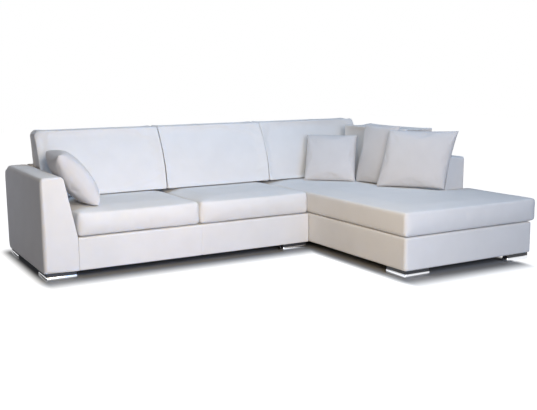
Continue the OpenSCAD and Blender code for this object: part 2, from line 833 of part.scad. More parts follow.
module seat_shape(pts, centre) {
    loft([for (r = SEAT_RINGS) [for (p = soft_outline(pts, r[0])) [p.x, p.y, seat_z + r[1]]]],
        [centre.x, centre.y, seat_z], [centre.x, centre.y, seat_top]);
}

module seat_cover(pts, centre) {
    color(FABRIC) difference() {
        seat_shape(pts, centre);
        prism_z(seat_z + cover_t / 2, seat_z + edge_z - cover_t, inset(pts, cover_t));
    }
}

module seat_core(pts) {
    color(FOAM) prism_z(seat_z + cover_t / 2, seat_z + edge_z - cover_t - 0.5, inset(pts, cover_t + 0.5));
}

half_gap = cushion_gap / 2;
seat_left_pts = rect(left_in + half_gap, seat_split - half_gap, sofa_front + 2, back_in - half_gap);
seat_right_pts = rect(seat_split + half_gap, split_x - half_gap, sofa_front + 2, back_in - half_gap);
chaise_pts = [[split_x + half_gap, chaise_front + 2], [total_w / 2, chaise_front + 2],
              [total_w / 2, arm_front - cushion_gap], [right_in - half_gap, arm_front - cushion_gap],
              [right_in - half_gap, back_in - half_gap], [split_x + half_gap, back_in - half_gap]];

function middle(pts) = (pts[0] + pts[2]) / 2;

module seat_cushion_left() seat_cover(seat_left_pts, middle(seat_left_pts));
module seat_core_left() seat_core(seat_left_pts);
module seat_cushion_right() seat_cover(seat_right_pts, middle(seat_right_pts));
module seat_core_right() seat_core(seat_right_pts);
module chaise_cushion() seat_cover(chaise_pts, (chaise_pts[0] + chaise_pts[3]) / 2);
module chaise_core() seat_core(chaise_pts);

// Back cushion: rings from the rear to the front, each [from front, inset, depth]
function back_rings(crown) = [[0, 22, 0], [0, 6, 5], [0, 0, 18], [0, 3, 70], [1, 0, 26], [1, 7, 8],
                              [1, 20, 0], [1, 60, -0.6 * crown], [1, 125, -crown]];

// Wedge between a front and a rear plane, w wide and h high, standing at z0; the planes' places are
// given at the foot and the top, and an end may lean in towards the foot
module wedge_cushion(w, h, z0, front, rear, crown, lean_in, lean_h) {
    function shift(p) = lean_in * max(0, 1 - p.y / lean_h) * (1 - p.x / w);
    function depth(r, z) = r[0] == 1 ? front[0] + (front[1] - front[0]) * z / h + r[2]
                                     : rear[0] + (rear[1] - rear[0]) * z / h - r[2];
    function ring(r) = [for (p = soft_outline(rect(0, w, 0, h), r[1]))
        [p.x + shift(p), depth(r, p.y), z0 + p.y]];
    rings = back_rings(crown);
    loft([for (r = rings) ring(r)], [w / 2, depth(rings[0], h / 2), z0 + h / 2],
        [w / 2, depth(rings[len(rings) - 1], h / 2), z0 + h / 2]);
}

// Foam core of the wedge, a straight-sided block inside the cover
module wedge_core(w, h, z0, front, rear, d, lean_in) {
    function y_at(ends, z) = ends[0] + (ends[1] - ends[0]) * z / h;
    e = 2.2 * d;
    prism_x(d + lean_in, w - d, [[y_at(front, d) + e, z0 + d], [y_at(rear, d) - e, z0 + d],
        [y_at(rear, h - d) - e, z0 + h - d], [y_at(front, h - d) + e, z0 + h - d]]);
}

function rear_plane(z) = back_y - wall_at(z) - soft_gap;
back_z = seat_top + soft_gap;
back_front = [rear_plane(back_z) - back_low_t, rear_plane(back_z + back_cushion_h) - back_top_t];
back_rear = [rear_plane(back_z), rear_plane(back_z + back_cushion_h)];

// Left and right edge of each back cushion, with the left one cleared from the sloping arm
arm_touch = left_x + wall_at(seat_top) + soft_gap;
back_left_x = arm_touch - arm_clear + 1;
back_right_x = right_x - wall_at(seat_top) - soft_gap;

module back_cover_cushion(x0, x1, lean_in) {
    w = x1 - x0;
    color(FABRIC) translate([x0, 0, 0]) difference() {
        wedge_cushion(w, back_cushion_h, back_z, back_front, back_rear, back_crown, lean_in, 140);
        wedge_core(w, back_cushion_h, back_z, back_front, back_rear, cover_t, lean_in);
    }
}

module back_core(x0, x1, lean_in) {
    color(FOAM) translate([x0, 0, 0]) intersection() {
        wedge_core(x1 - x0, back_cushion_h, back_z, back_front, back_rear, cover_t + 0.3, lean_in);
        block(0, x1 - x0, 0, back_y, back_z + cover_t, back_z + back_cushion_h);
    }
}

module back_cushion_left() back_cover_cushion(back_left_x, seat_split - half_gap, arm_clear);
module back_core_left() back_core(back_left_x, seat_split - half_gap, arm_clear);
module back_cushion_middle() back_cover_cushion(seat_split + half_gap, split_x - half_gap, 0);
module back_core_middle() back_core(seat_split + half_gap, split_x - half_gap, 0);
module back_cushion_right() back_cover_cushion(split_x + half_gap, back_right_x, 0);
module back_core_right() back_core(split_x + half_gap, back_right_x, 0);

// Side cushion along the right arm, turned so that its front looks to the left
function side_plane(z) = right_x - wall_at(z) - soft_gap;
side_front = [side_plane(back_z) - side_low_t, side_plane(back_z + side_cushion_h) - side_top_t];
side_rear = [side_plane(back_z), side_plane(back_z + side_cushion_h)];
side_end_y = back_front[0] - 8 + side_lean_in;

module on_side() {
    translate([0, side_end_y, 0]) rotate([0, 0, -90]) children();
}

module side_cushion() {
    color(FABRIC) on_side() difference() {
        wedge_cushion(side_cushion_l, side_cushion_h, back_z, side_front, side_rear, side_crown,
            side_lean_in, side_cushion_h);
        wedge_core(side_cushion_l, side_cushion_h, back_z, side_front, side_rear, cover_t, side_lean_in);
    }
}

module side_core() {
    color(FOAM) on_side() wedge_core(side_cushion_l, side_cushion_h, back_z, side_front, side_rear,
        cover_t + 0.3, side_lean_in);
}

// Knife-edge pillow: a crowned body on both sides of its face. at is the bottom left corner seen from
// the front, turn the face's turn about Z, slump its sideways shear, and front and rear its half depths
PILLOW_STEPS = 12;

function pillow_points(at, w, h, turn, tilt, slump, front, rear) =
    let (e = [cos(turn), -sin(turn), 0],
         back = [sin(turn), cos(turn), 0],
         up = back * sin(tilt) + [0, 0, cos(tilt)] + e * slump,
         n = cross(e, up) / norm(cross(e, up)),
         s = [for (k = [0:PILLOW_STEPS]) sin(90 * (2 * k / PILLOW_STEPS - 1))],
         place = function(u, v) [at.x, at.y, 0] + e * w * (1 + u * (1 - pillow_draw * (1 - v * v))) / 2
             + up * h * (1 + v * (1 - pillow_draw * (1 - u * u))) / 2,
         full = function(u, v) pow((1 - u * u) * (1 - v * v), 0.5))
    concat([for (v = s, u = s) place(u, v) + n * front * full(u, v)],
           [for (j = [1:PILLOW_STEPS - 1], i = [1:PILLOW_STEPS - 1])
               place(s[i], s[j]) - n * rear * full(s[i], s[j])]);

function pillow_faces() =
    let (m = PILLOW_STEPS,
         f = function(i, j) j * (m + 1) + i,
         r = function(i, j) i == 0 || j == 0 || i == m || j == m ? j * (m + 1) + i
             : (m + 1) * (m + 1) + (j - 1) * (m - 1) + i - 1)
    [for (j = [0:m - 1], i = [0:m - 1]) each (i < m / 2) == (j < m / 2)
        ? [[f(i, j), f(i, j + 1), f(i + 1, j + 1)], [f(i, j), f(i + 1, j + 1), f(i + 1, j)],
           [r(i, j), r(i + 1, j + 1), r(i, j + 1)], [r(i, j), r(i + 1, j), r(i + 1, j + 1)]]
        : [[f(i, j), f(i, j + 1), f(i + 1, j)], [f(i, j + 1), f(i + 1, j + 1), f(i + 1, j)],
           [r(i, j), r(i + 1, j), r(i, j + 1)], [r(i, j + 1), r(i + 1, j), r(i + 1, j + 1)]]];

// The pillow is lowered until it rests on the seat
module pillow(at, w, h, turn, tilt, slump, front, rear) {
    pts = pillow_points(at, w, h, turn, tilt, slump, front, rear);
    drop = seat_top + soft_gap - min([for (p = pts) p.z]);
    color(PILLOW_FABRIC) translate([0, 0, drop]) polyhedron(pts, pillow_faces());
}

module pillow_left_arm() {
    pillow([left_in + arm_pillow_x, back_front[0] - arm_pillow_y], arm_pillow_w, arm_pillow_h,
        arm_pillow_turn, arm_pillow_tilt, 0.05, arm_pillow_front, arm_pillow_rear);
}

module pillow_corner() {
    pillow([right_in - corner_pillow_x, back_front[0] - corner_pillow_y], corner_pillow_w,
        corner_pillow_h, corner_pillow_turn, corner_pillow_tilt, -0.04, corner_pillow_front,
        corner_pillow_rear);
}

module pillow_side() {
    pillow([right_in - side_pillow_x, back_front[0] - side_pillow_y], side_pillow_w, side_pillow_h,
        side_pillow_turn, side_pillow_tilt, 0, side_pillow_front, side_pillow_rear);
}

module pillow_front() {
    pillow([right_in - front_pillow_x, back_front[0] - front_pillow_y], front_pillow_w,
        front_pillow_h, front_pillow_turn, front_pillow_tilt, 0.19, front_pillow_front,
        front_pillow_rear);
}

sofa_long_rails();
sofa_cross_rails();
sofa_webbing();
sofa_deck_foam();
sofa_base_cover();
sofa_dust_cover();
left_arm_panels();
left_arm_boards();
left_arm_cover();
sofa_back_ribs();
sofa_back_boards();
sofa_back_cover();
chaise_long_rails();
chaise_cross_rails();
chaise_webbing();
chaise_deck_foam();
chaise_base_cover();
chaise_dust_cover();
right_arm_panels();
right_arm_boards();
right_arm_cover();
chaise_back_ribs();
chaise_back_boards();
chaise_back_cover();
corner_blocks();
module_bolts();
module_nuts();
foot_spacers();
foot_screws();
foot_left_front();
foot_left_rear();
foot_inner_front();
foot_inner_rear();
foot_chaise_inner_front();
foot_chaise_inner_rear();
foot_chaise_front();
foot_chaise_rear();
seat_cushion_left();
seat_core_left();
seat_cushion_right();
seat_core_right();
chaise_cushion();
chaise_core();
back_cushion_left();
back_core_left();
back_cushion_middle();
back_core_middle();
back_cushion_right();
back_core_right();
side_cushion();
side_core();
pillow_left_arm();
pillow_corner();
pillow_side();
pillow_front();
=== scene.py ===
"""Corner sofa: upholstery, loose cushions, finishes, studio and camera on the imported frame."""

import json
import logging
import math
from dataclasses import dataclass, field, replace
from enum import Enum
from typing import Callable, Optional, Union

import bmesh
import bpy
import numpy as np
from mathutils import Matrix, Vector


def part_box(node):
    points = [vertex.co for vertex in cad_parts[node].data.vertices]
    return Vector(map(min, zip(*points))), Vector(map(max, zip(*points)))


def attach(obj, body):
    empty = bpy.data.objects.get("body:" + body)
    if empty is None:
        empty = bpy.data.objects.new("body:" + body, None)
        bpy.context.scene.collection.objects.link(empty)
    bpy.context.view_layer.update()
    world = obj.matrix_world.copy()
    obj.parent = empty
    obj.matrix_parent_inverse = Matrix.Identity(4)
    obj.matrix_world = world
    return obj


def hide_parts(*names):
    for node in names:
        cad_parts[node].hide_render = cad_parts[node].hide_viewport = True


logging.basicConfig(level=logging.INFO, format="%(levelname)s %(name)s: %(message)s")
log = logging.getLogger("sofa")

Points = np.ndarray
Pair = tuple[float, float]
Triple = tuple[float, float, float]
Rect = tuple[Pair, Pair, tuple[float, float, float, float]]
Box = tuple[Pair, Pair]
Names = tuple[str, str, str]
Socket = bpy.types.NodeSocket
Value = Union[float, str, tuple[float, ...], bpy.types.NodeTree, Socket]
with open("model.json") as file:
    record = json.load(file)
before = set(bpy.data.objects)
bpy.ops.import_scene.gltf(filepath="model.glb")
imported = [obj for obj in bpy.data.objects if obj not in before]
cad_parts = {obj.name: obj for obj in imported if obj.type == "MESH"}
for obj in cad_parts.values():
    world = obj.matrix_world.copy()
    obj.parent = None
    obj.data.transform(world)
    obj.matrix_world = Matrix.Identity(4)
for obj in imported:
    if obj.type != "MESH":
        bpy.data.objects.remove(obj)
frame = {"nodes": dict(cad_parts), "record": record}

# Main lines of the sofa in metres, the same as the frame's solids
LEFT, RIGHT, CHAISE_END = -1.465, 1.425, 1.465
BACK, FRONT = 1.0, -1.0
SOFA_FRONT, ARM_FRONT = 0.05, -0.37
ARM_BASE, ARM_TOP_W = 0.215, 0.14
BASE_Z, DECK_Z, ARM_Z = 0.047, 0.252, 0.625
SEAT_Z, EDGE_Z, SEAT_TOP = 0.2523, 0.4063, 0.4183
SPLIT = 0.38
BASE_H, ARM_H = DECK_Z - BASE_Z, ARM_Z - BASE_Z
LEAN = (ARM_BASE - ARM_TOP_W) / (ARM_Z - DECK_Z)
LEFT_IN, RIGHT_IN, BACK_IN = LEFT + ARM_BASE, RIGHT - ARM_BASE, BACK - ARM_BASE
# The seat cushions meet 10 mm left of the middle
SEAM = (LEFT_IN + SPLIT) / 2 - 0.010

# Half the gap between the modules, from a cushion's side to its line, and to what it rests on
MODULE_GAP, GAP, TOUCH = 0.001, 0.0015, 0.0003
# How far blown cloth may pass its cushion's side
SPARE = 0.0005
# Distance of the cushions' fronts from the bases' fronts
SET_BACK = 0.002
# Smallest divisor, and the distance within which points count as the same
TINY, SAME = 1e-9, 1e-6


def wall_at(z: Union[float, Points]) -> Union[float, Points]:
    """Distance of the arms' and the back's inner face from their outer face at a height."""
    return ARM_BASE - (z - DECK_Z) * LEAN


class Slot(Enum):
    """The record's material slots."""

    COVER = "cover_fabric"
    PILLOW = "pillow_fabric"
    TIMBER = "timber"
    PLYWOOD = "plywood"
    FOAM = "foam"
    WEBBING = "elastic_webbing"
    LINING = "black_cloth"
    CHROME = "chrome_metal"
    PLASTIC = "black_plastic"
    STEEL = "zinc_steel"


@dataclass
class Tree:
    """A shader tree with short ways to add nodes. Each value is a constant or a socket."""

    data: bpy.types.NodeTree

    def link(self, source: Socket, target: Socket) -> None:
        """Links an output socket to an input socket."""
        self.data.links.new(source, target)

    def feed(self, made: bpy.types.Node, key: Union[int, str], value: Value) -> None:
        """Links or sets one input of a node.

        Args:
            made: the node.
            key: the input's number or name.
            value: a constant, or the socket to link.
        """
        if isinstance(value, bpy.types.NodeSocket):
            self.link(value, made.inputs[key])
        else:
            made.inputs[key].default_value = value

    def node(self, kind: str, **values: Value) -> bpy.types.Node:
        """Adds a node.

        Args:
            kind: its type without the ShaderNode prefix.
            values: its properties and inputs by name.
        Returns:
            The node.
        """
        made = self.data.nodes.new(f"ShaderNode{kind}")
        for key, value in values.items():
            if hasattr(made, key):
                setattr(made, key, value)
            else:
                self.feed(made, key, value)
        return made

    def maths(self, operation: str, *values: Value, clamp: bool = False) -> Socket:
        """Adds a Math node.

        Args:
            operation: what it works out.
            values: its inputs in order.
            clamp: True to keep the result between 0 and 1.
        Returns:
            Its result.
        """
        made = self.node("Math", operation=operation, use_clamp=clamp)
        for k, value in enumerate(values):
            self.feed(made, k, value)
        return made.outputs[0]

    def vector(self, operation: str, *values: Value, result: str = "Vector",
               **named: Value) -> Socket:
        """Adds a VectorMath node.

        Args:
            operation: what it works out.
            values: its inputs in order.
            result: the output that is wanted.
            named: more inputs by name.
        Returns:
            Its result.
        """
        made = self.node("VectorMath", operation=operation, **named)
        for k, value in enumerate(values):
            self.feed(made, k, value)
        return made.outputs[result]

    def place(self) -> Socket:
        """The surface's Object coordinates."""
        return self.node("TexCoord").outputs["Object"]

    def noise(self, place: Socket, **values: Value) -> Socket:
        """Adds a noise texture and returns its factor."""
        return self.node("TexNoise", Vector=place, **values).outputs[0]

    def bump(self, height: Socket, strength: float, distance: float, **under: Value) -> Socket:
        """Adds a bump, over the Normal of another if given, and returns its normal."""
        made = self.node("Bump", Strength=strength, Distance=distance, Height=height, **under)
        return made.outputs[0]

    def group(self, name: str, **values: Value) -> bpy.types.NodeOutputs:
        """Adds a shared node group with the values in its inputs and returns its outputs."""
        return self.node("Group", node_tree=bpy.data.node_groups[name], **values).outputs


def new_group(name: str, inputs: dict[str, Value],
              *outputs: str) -> tuple[Tree, bpy.types.NodeOutputs, bpy.types.NodeInputs]:
    """Makes a shared node group.

    Args:
        name: its name.
        inputs: the default of each input by name, a number or a vector.
        outputs: names of its outputs, all numbers.
    Returns:
        Its tree, the sockets that its inputs arrive at and those that its outputs leave from.
    """
    data = bpy.data.node_groups.new(name, "ShaderNodeTree")
    for key, value in inputs.items():
        kind = "Float" if isinstance(value, float) else "Vector"
        data.interface.new_socket(name=key, in_out="INPUT",
                                  socket_type=f"NodeSocket{kind}").default_value = value
    for key in outputs:
        data.interface.new_socket(name=key, in_out="OUTPUT", socket_type="NodeSocketFloat")
    arrive, leave = data.nodes.new("NodeGroupInput"), data.nodes.new("NodeGroupOutput")
    return Tree(data), arrive.outputs, leave.inputs


def make_weave_group() -> None:
    """Height and tone of a plain weave with a slight slub, by the distance of its threads."""
    g, given, made = new_group("Weave", {"Thread": 0.0016, "Slub": 0.35}, "Height", "Tone")
    place = g.place()
    waves = g.vector("SCALE", place, Scale=g.maths("DIVIDE", math.pi, given["Thread"]))
    x, y, z = (g.maths("SINE", part) for part in g.node("SeparateXYZ", Vector=waves).outputs)
    over = g.maths("ADD", g.maths("MULTIPLY", x, y), g.maths("MULTIPLY", y, z))
    over = g.maths("ADD", over, g.maths("MULTIPLY", x, z))
    slub = g.noise(place, Scale=260.0, Detail=2.0)
    height = g.maths("MULTIPLY_ADD", slub, given["Slub"], g.maths("MULTIPLY", over, 0.25))
    g.link(height, made["Height"])
    mottle = g.noise(place, Scale=7.0, Detail=3.0)
    g.link(g.maths("MULTIPLY_ADD", over, 0.05, mottle), made["Tone"])


def make_slack_group() -> None:
    """Slow unevenness of cloth over its padding, by its length in metres."""
    g, given, made = new_group("Slack", {"Length": 0.2}, "Height")
    noise = g.noise(g.place(), Scale=g.maths("DIVIDE", 1.0, given["Length"]), Detail=1.5,
                    Roughness=0.45, Distortion=0.4)
    g.link(noise, made["Height"])


def make_painted_floor_shadow_group() -> None:
    """Painted shadow round the sofa: from the distance on the floor from the sofa's plan, a share
    of the floor's white glow that is 0 below it and 1 at Reach, Sideways faster in X.
    """
    g, given, made = new_group("PaintedFloorShadow", {"Reach": 0.4, "Sideways": 2.5}, "Away")
    place = g.place()
    scale = g.node("CombineXYZ", X=given["Sideways"], Y=1.0, Z=1.0).outputs[0]
    away = []
    # The painted shadow's plan stops short of the sofa's left and right ends
    left, right = LEFT + 0.025, RIGHT - 0.16
    for x0, y0 in ((left, SOFA_FRONT), (SPLIT, FRONT)):
        middle = ((x0 + right) / 2, (y0 + BACK) / 2, 0.0)
        half = ((right - x0) / 2, (BACK - y0) / 2, 1.0)
        off = g.vector("ABSOLUTE", g.vector("SUBTRACT", place, middle))
        over = g.vector("MAXIMUM", g.vector("SUBTRACT", off, half), (0.0, 0.0, 0.0))
        away.append(g.vector("LENGTH", g.vector("MULTIPLY", over, scale), result="Value"))
    share = g.maths("DIVIDE", g.maths("MINIMUM", *away), given["Reach"])
    soft = g.node("MapRange", interpolation_type="SMOOTHSTEP", Value=share)
    g.link(soft.outputs["Result"], made["Away"])


def make_grain_group() -> None:
    """Wood grain from light to dark, stretched by Along."""
    g, given, made = new_group("Grain", {"Along": (1.0, 12.0, 12.0), "Rings": 5.0}, "Grain")
    stretched = g.vector("MULTIPLY", g.place(), given["Along"])
    noise = g.noise(stretched, Scale=2.2, Detail=5.0, Distortion=0.6)
    g.link(g.maths("FRACT", g.maths("MULTIPLY", noise, given["Rings"])), made["Grain"])


def make_wear_group() -> None:
    """Slightly uneven roughness of a smooth surface, round Base and by Spread."""
    g, given, made = new_group("Wear", {"Base": 0.2, "Spread": 0.1}, "Roughness")
    noise = g.noise(g.place(), Scale=38.0, Detail=4.0)
    spread = g.maths("MULTIPLY", g.maths("SUBTRACT", noise, 0.5), given["Spread"])
    g.link(g.maths("ADD", spread, given["Base"]), made["Roughness"])


@dataclass(frozen=True)
class Finish:
    """One procedural material.

    Attributes:
        slot: the record's slot, whose name the material has.
        color: base colour.
        roughness: roughness.
        metallic: 1 for a metal.
    """

    slot: Slot
    color: Triple
    roughness: float
    metallic: float = 0.0

    def sockets(self) -> dict[str, Value]:
        """Plain values of the shader's sockets."""
        return {"Base Color": (*self.color, 1.0), "Roughness": self.roughness,
                "Metallic": self.metallic}

    def dress(self, tree: Tree, surface: bpy.types.NodeInputs) -> None:
        """Links what this kind of finish adds, to be said by each kind."""
        raise NotImplementedError

    def build(self) -> bpy.types.Material:
        """Makes the material.

        Returns:
            The material, named by its slot.
        """
        mat = bpy.data.materials.new(self.slot.value)
        mat.use_nodes = True
        shader = next(n for n in mat.node_tree.nodes if n.type == "BSDF_PRINCIPLED")
        for key, value in self.sockets().items():
            shader.inputs[key].default_value = value
        self.dress(Tree(mat.node_tree), shader.inputs)
        log.info("finish %s", mat.name)
        return mat


@dataclass(frozen=True)
class Pattern(Finish):
    """A finish with a pattern of two colours.

    Attributes:
        dark: colour of the pattern's darker part.
    """

    dark: Triple = (0.0, 0.0, 0.0)

    def blend(self, tree: Tree, surface: bpy.types.NodeInputs, factor: Socket, low: float,
              high: float) -> None:
        """Links a base colour that runs from the plain to the dark one.

        Args:
            tree: the material's tree.
            surface: the shader's inputs.
            factor: the pattern.
            low: its value for the plain colour.
            high: its value for the dark colour.
        """
        ramp = tree.node("ValToRGB")
        stops = zip(ramp.color_ramp.elements, (low, high), (self.color, self.dark))
        for stop, place, color in stops:
            stop.position = place
            stop.color = (*color, 1.0)
        tree.link(factor, ramp.inputs[0])
        tree.link(ramp.outputs[0], surface["Base Color"])


@dataclass(frozen=True)
class Cloth(Pattern):
    """Woven cloth with a soft sheen.

    Attributes:
        thread: distance of the threads.
        sheen: weight of the sheen.
        depth: height of the weave.
        slack: height of the cloth's slow unevenness.
    """

    thread: float = 0.0016
    sheen: float = 0.12
    depth: float = 0.0004
    slack: float = 0.0

    def sockets(self) -> dict[str, Value]:
        """Plain values of the shader's sockets."""
        return super().sockets() | {"Sheen Weight": self.sheen, "Sheen Roughness": 0.5,
                                    "Specular IOR Level": 0.2}

    def dress(self, tree: Tree, surface: bpy.types.NodeInputs) -> None:
        """Adds the weave's tone and height, over the cloth's slack if it has any.

        Args:
            tree: the material's tree.
            surface: the shader's inputs.
        """
        weave = tree.group("Weave", Thread=self.thread, Slub=0.4)
        self.blend(tree, surface, weave["Tone"], 0.35, 0.75)
        under = {}
        if self.slack:
            slow = tree.group("Slack", Length=0.16)["Height"]
            under["Normal"] = tree.bump(slow, 1.0, self.slack)
        tree.link(tree.bump(weave["Height"], 0.35, self.depth, **under), surface["Normal"])


@dataclass(frozen=True)
class Wood(Pattern):
    """Timber or plywood.

    Attributes:
        rings: number of grain lines.
        along: stretch of the grain.
    """

    rings: float = 5.0
    along: Triple = (1.0, 12.0, 12.0)

    def dress(self, tree: Tree, surface: bpy.types.NodeInputs) -> None:
        """Adds the grain.

        Args:
            tree: the material's tree.
            surface: the shader's inputs.
        """
        grain = tree.group("Grain", Rings=self.rings, Along=self.along)["Grain"]
        self.blend(tree, surface, grain, 0.1, 0.95)
        tree.link(tree.bump(grain, 0.1, 0.0003), surface["Normal"])


@dataclass(frozen=True)
class Foam(Pattern):
    """Open-cell foam.

    Attributes:
        pores: pores per metre.
    """

    pores: float = 700.0

    def dress(self, tree: Tree, surface: bpy.types.NodeInputs) -> None:
        """Adds the pores.

        Args:
            tree: the material's tree.
            surface: the shader's inputs.
        """
        cells = tree.node("TexVoronoi", Scale=self.pores, Vector=tree.place())
        self.blend(tree, surface, cells.outputs["Distance"], 0.0, 0.8)
        tree.link(tree.bump(cells.outputs["Distance"], 0.4, 0.0006), surface["Normal"])


@dataclass(frozen=True)
class Smooth(Finish):
    """Metal or plastic.

    Attributes:
        spread: how uneven its roughness is.
    """

    spread: float = 0.08

    def dress(self, tree: Tree, surface: bpy.types.NodeInputs) -> None:
        """Adds the uneven roughness."""
        wear = tree.group("Wear", Base=self.roughness, Spread=self.spread)
        tree.link(wear["Roughness"], surface["Roughness"])


FINISHES: tuple[Finish, ...] = (
    Cloth(Slot.COVER, (0.73, 0.712, 0.69), 0.92, dark=(0.70, 0.682, 0.66), slack=0.004),
    Cloth(Slot.PILLOW, (0.63, 0.61, 0.60), 0.9, dark=(0.595, 0.575, 0.565), thread=0.0012,
          sheen=0.15),
    Wood(Slot.TIMBER, (0.62, 0.44, 0.25), 0.7, dark=(0.42, 0.27, 0.13)),
    Wood(Slot.PLYWOOD, (0.68, 0.52, 0.33), 0.65, dark=(0.52, 0.37, 0.21), rings=3.0,
         along=(9.0, 9.0, 1.0)),
    Foam(Slot.FOAM, (0.86, 0.80, 0.58), 0.95, dark=(0.66, 0.60, 0.40)),
    Cloth(Slot.WEBBING, (0.20, 0.19, 0.17), 0.9, dark=(0.10, 0.095, 0.085), thread=0.003,
          depth=0.001),
    Cloth(Slot.LINING, (0.03, 0.03, 0.032), 0.95, dark=(0.018, 0.018, 0.02), thread=0.001,
          sheen=0.05),
    Smooth(Slot.CHROME, (0.80, 0.81, 0.83), 0.08, 1.0, spread=0.05),
    Smooth(Slot.PLASTIC, (0.018, 0.018, 0.02), 0.45),
    Smooth(Slot.STEEL, (0.55, 0.56, 0.58), 0.35, 1.0),
)


@dataclass
class Finishes:
    """All materials by slot."""

    made: dict[Slot, bpy.types.Material] = field(default_factory=dict)

    def build(self) -> None:
        """Makes the node groups, then each finish."""
        for make in (make_weave_group, make_slack_group, make_grain_group, make_painted_floor_shadow_group,
                     make_wear_group):
            make()
        for finish in FINISHES:
            self.made[finish.slot] = finish.build()

    def paint_frame(self) -> None:
        """Gives every node of the frame the material of its slot."""
        for sub in frame["record"]["subparts"]:
            obj = frame["nodes"][sub["node"]]
            obj.data.materials.clear()
            obj.data.materials.append(self.made[Slot(sub["material_slot"])])
            log.info("node %s in %s", sub["node"], sub["material_slot"])


def finish_mesh(bm: bmesh.types.BMesh, name: str, mat: bpy.types.Material) -> bpy.types.Object:
    """Turns a bmesh into a smooth-shaded object at the origin.

    Args:
        bm: the mesh, freed here.
        name: the object's name.
        mat: its material.
    Returns:
        The object, linked to the scene.
    """
    bmesh.ops.recalc_face_normals(bm, faces=bm.faces[:])
    data = bpy.data.meshes.new(name)
    bm.to_mesh(data)
    bm.free()
    data.materials.append(mat)
    data.polygons.foreach_set("use_smooth", [True] * len(data.polygons))
    obj = bpy.data.objects.new(name, data)
    bpy.context.scene.collection.objects.link(obj)
    return obj


def edit_mesh(obj: bpy.types.Object, work: Callable[[bmesh.types.BMesh], None]) -> None:
    """Changes an object's mesh.

    Args:
        obj: the object.
        work: changes its bmesh.
    """
    bm = bmesh.new()
    bm.from_mesh(obj.data)
    work(bm)
    bm.to_mesh(obj.data)
    bm.free()


def raise_verts(bm: bmesh.types.BMesh, geom: list, rise: float) -> None:
    """Moves the vertices among some elements up."""
    verts = [g for g in geom if isinstance(g, bmesh.types.BMVert)]
    bmesh.ops.translate(bm, verts=verts, vec=(0, 0, rise))


def steps(stops: list[float], cell: float) -> Points:
    """Grid lines through increasing stops.

    Args:
        stops: places that get a line.
        cell: about how far apart the lines are.
    Returns:
        The places of the lines.
    """
    lines = [stops[0]]
    for a, b in zip(stops, stops[1:]):
        n = max(1, round((b - a) / cell))
        lines += [a + (b - a) * k / n for k in range(1, n + 1)]
    return np.array(lines)


def plan_test(boxes: list[Box]) -> Optional[Callable[[float, float], bool]]:
    """Makes a test for whether a place lies in one of several boxes.

    Args:
        boxes: the boxes.
    Returns:
        The test, or None where there is only one box.
    """
    if len(boxes) == 1:
        return None
    return lambda u, v: any(a[0] < u < b[0] and a[1] < v < b[1] for a, b in boxes)


def lattice_box(us: Points, vs: Points, ws: Points,
                keep: Optional[Callable[[float, float], bool]] = None) -> bmesh.types.BMesh:
    """Closed box of quads, from a grid extruded layer by layer.

    Args:
        us: grid lines along the first direction.
        vs: grid lines along the second direction.
        ws: grid lines through the thickness.
        keep: tells from a cell's middle whether it belongs to the plan.
    Returns:
        The mesh in (u, v, w).
    """
    bm = bmesh.new()
    nu, nv = len(us) - 1, len(vs) - 1
    bmesh.ops.create_grid(bm, x_segments=nu, y_segments=nv, size=1.0)
    for vert in bm.verts:
        i = round((vert.co.x + 1) / 2 * nu)
        j = round((vert.co.y + 1) / 2 * nv)
        vert.co = (us[i], vs[j], ws[0])
    if keep:
        out = [f for f in bm.faces if not keep(*f.calc_center_median()[:2])]
        bmesh.ops.delete(bm, geom=out, context="FACES")
    panel = bm.faces[:]
    rim = [e for e in bm.edges if len(e.link_faces) == 1]
    lid = bmesh.ops.duplicate(bm, geom=panel + bm.edges[:] + bm.verts[:])["geom"]
    raise_verts(bm, lid, ws[-1] - ws[0])
    for a, b in zip(ws, ws[1:]):
        made = bmesh.ops.extrude_edge_only(bm, edges=rim)["geom"]
        rim = [g for g in made if isinstance(g, bmesh.types.BMEdge)]
        raise_verts(bm, made, b - a)
    bmesh.ops.remove_doubles(bm, verts=bm.verts[:], dist=1e-5)
    return bm


def read_points(data: bpy.types.Mesh) -> Points:
    """Reads a mesh's vertices.

    Args:
        data: the mesh.
    Returns:
        A row for each vertex.
    """
    flat = np.empty(len(data.vertices) * 3)
    data.vertices.foreach_get("co", flat)
    return flat.reshape(-1, 3)


def write_points(data: bpy.types.Mesh, points: Points) -> None:
    """Moves the mesh's vertices."""
    data.vertices.foreach_set("co", points.ravel())
    data.update()


def hash_noise(points: Points, scale: float, seed: float) -> Points:
    """Smooth noise in -1 to 1 without a random source, one value a row.

    Args:
        points: rows of coordinates.
        scale: waves per metre.
        seed: shifts the pattern.
    Returns:
        The values.
    """
    p = points * scale * 2 * math.pi
    a = np.sin(p[:, 0] * 1.0 + seed) * np.cos(p[:, 1] * 1.13 + seed * 2.1)
    b = np.sin(p[:, 1] * 0.71 + p[:, 2] * 0.93 + seed * 1.7)
    c = np.sin((p[:, 0] + p[:, 2]) * 1.61 + seed * 0.6) * np.sin(p[:, 1] * 1.9 - seed)
    return (a + b + c) / 3


def rounded_box(points: Points, size: Points, low: Points, high: Points) -> Points:
    """Rounds the edges of a box whose lowest corner is the origin.

    Args:
        points: rows on the box's surface.
        size: the box's size.
        low: edge radius at the low side of each axis.
        high: edge radius at the high side of each axis.
    Returns:
        The moved points.
    """
    core = np.clip(points, low, size - high)
    off = points - core
    reach = np.where(off > 0, high, low)
    share = off / np.maximum(reach, TINY)
    n = np.maximum(np.linalg.norm(share, axis=1), TINY)[:, None]
    return core + share / n * np.minimum(n, 1.0) * reach


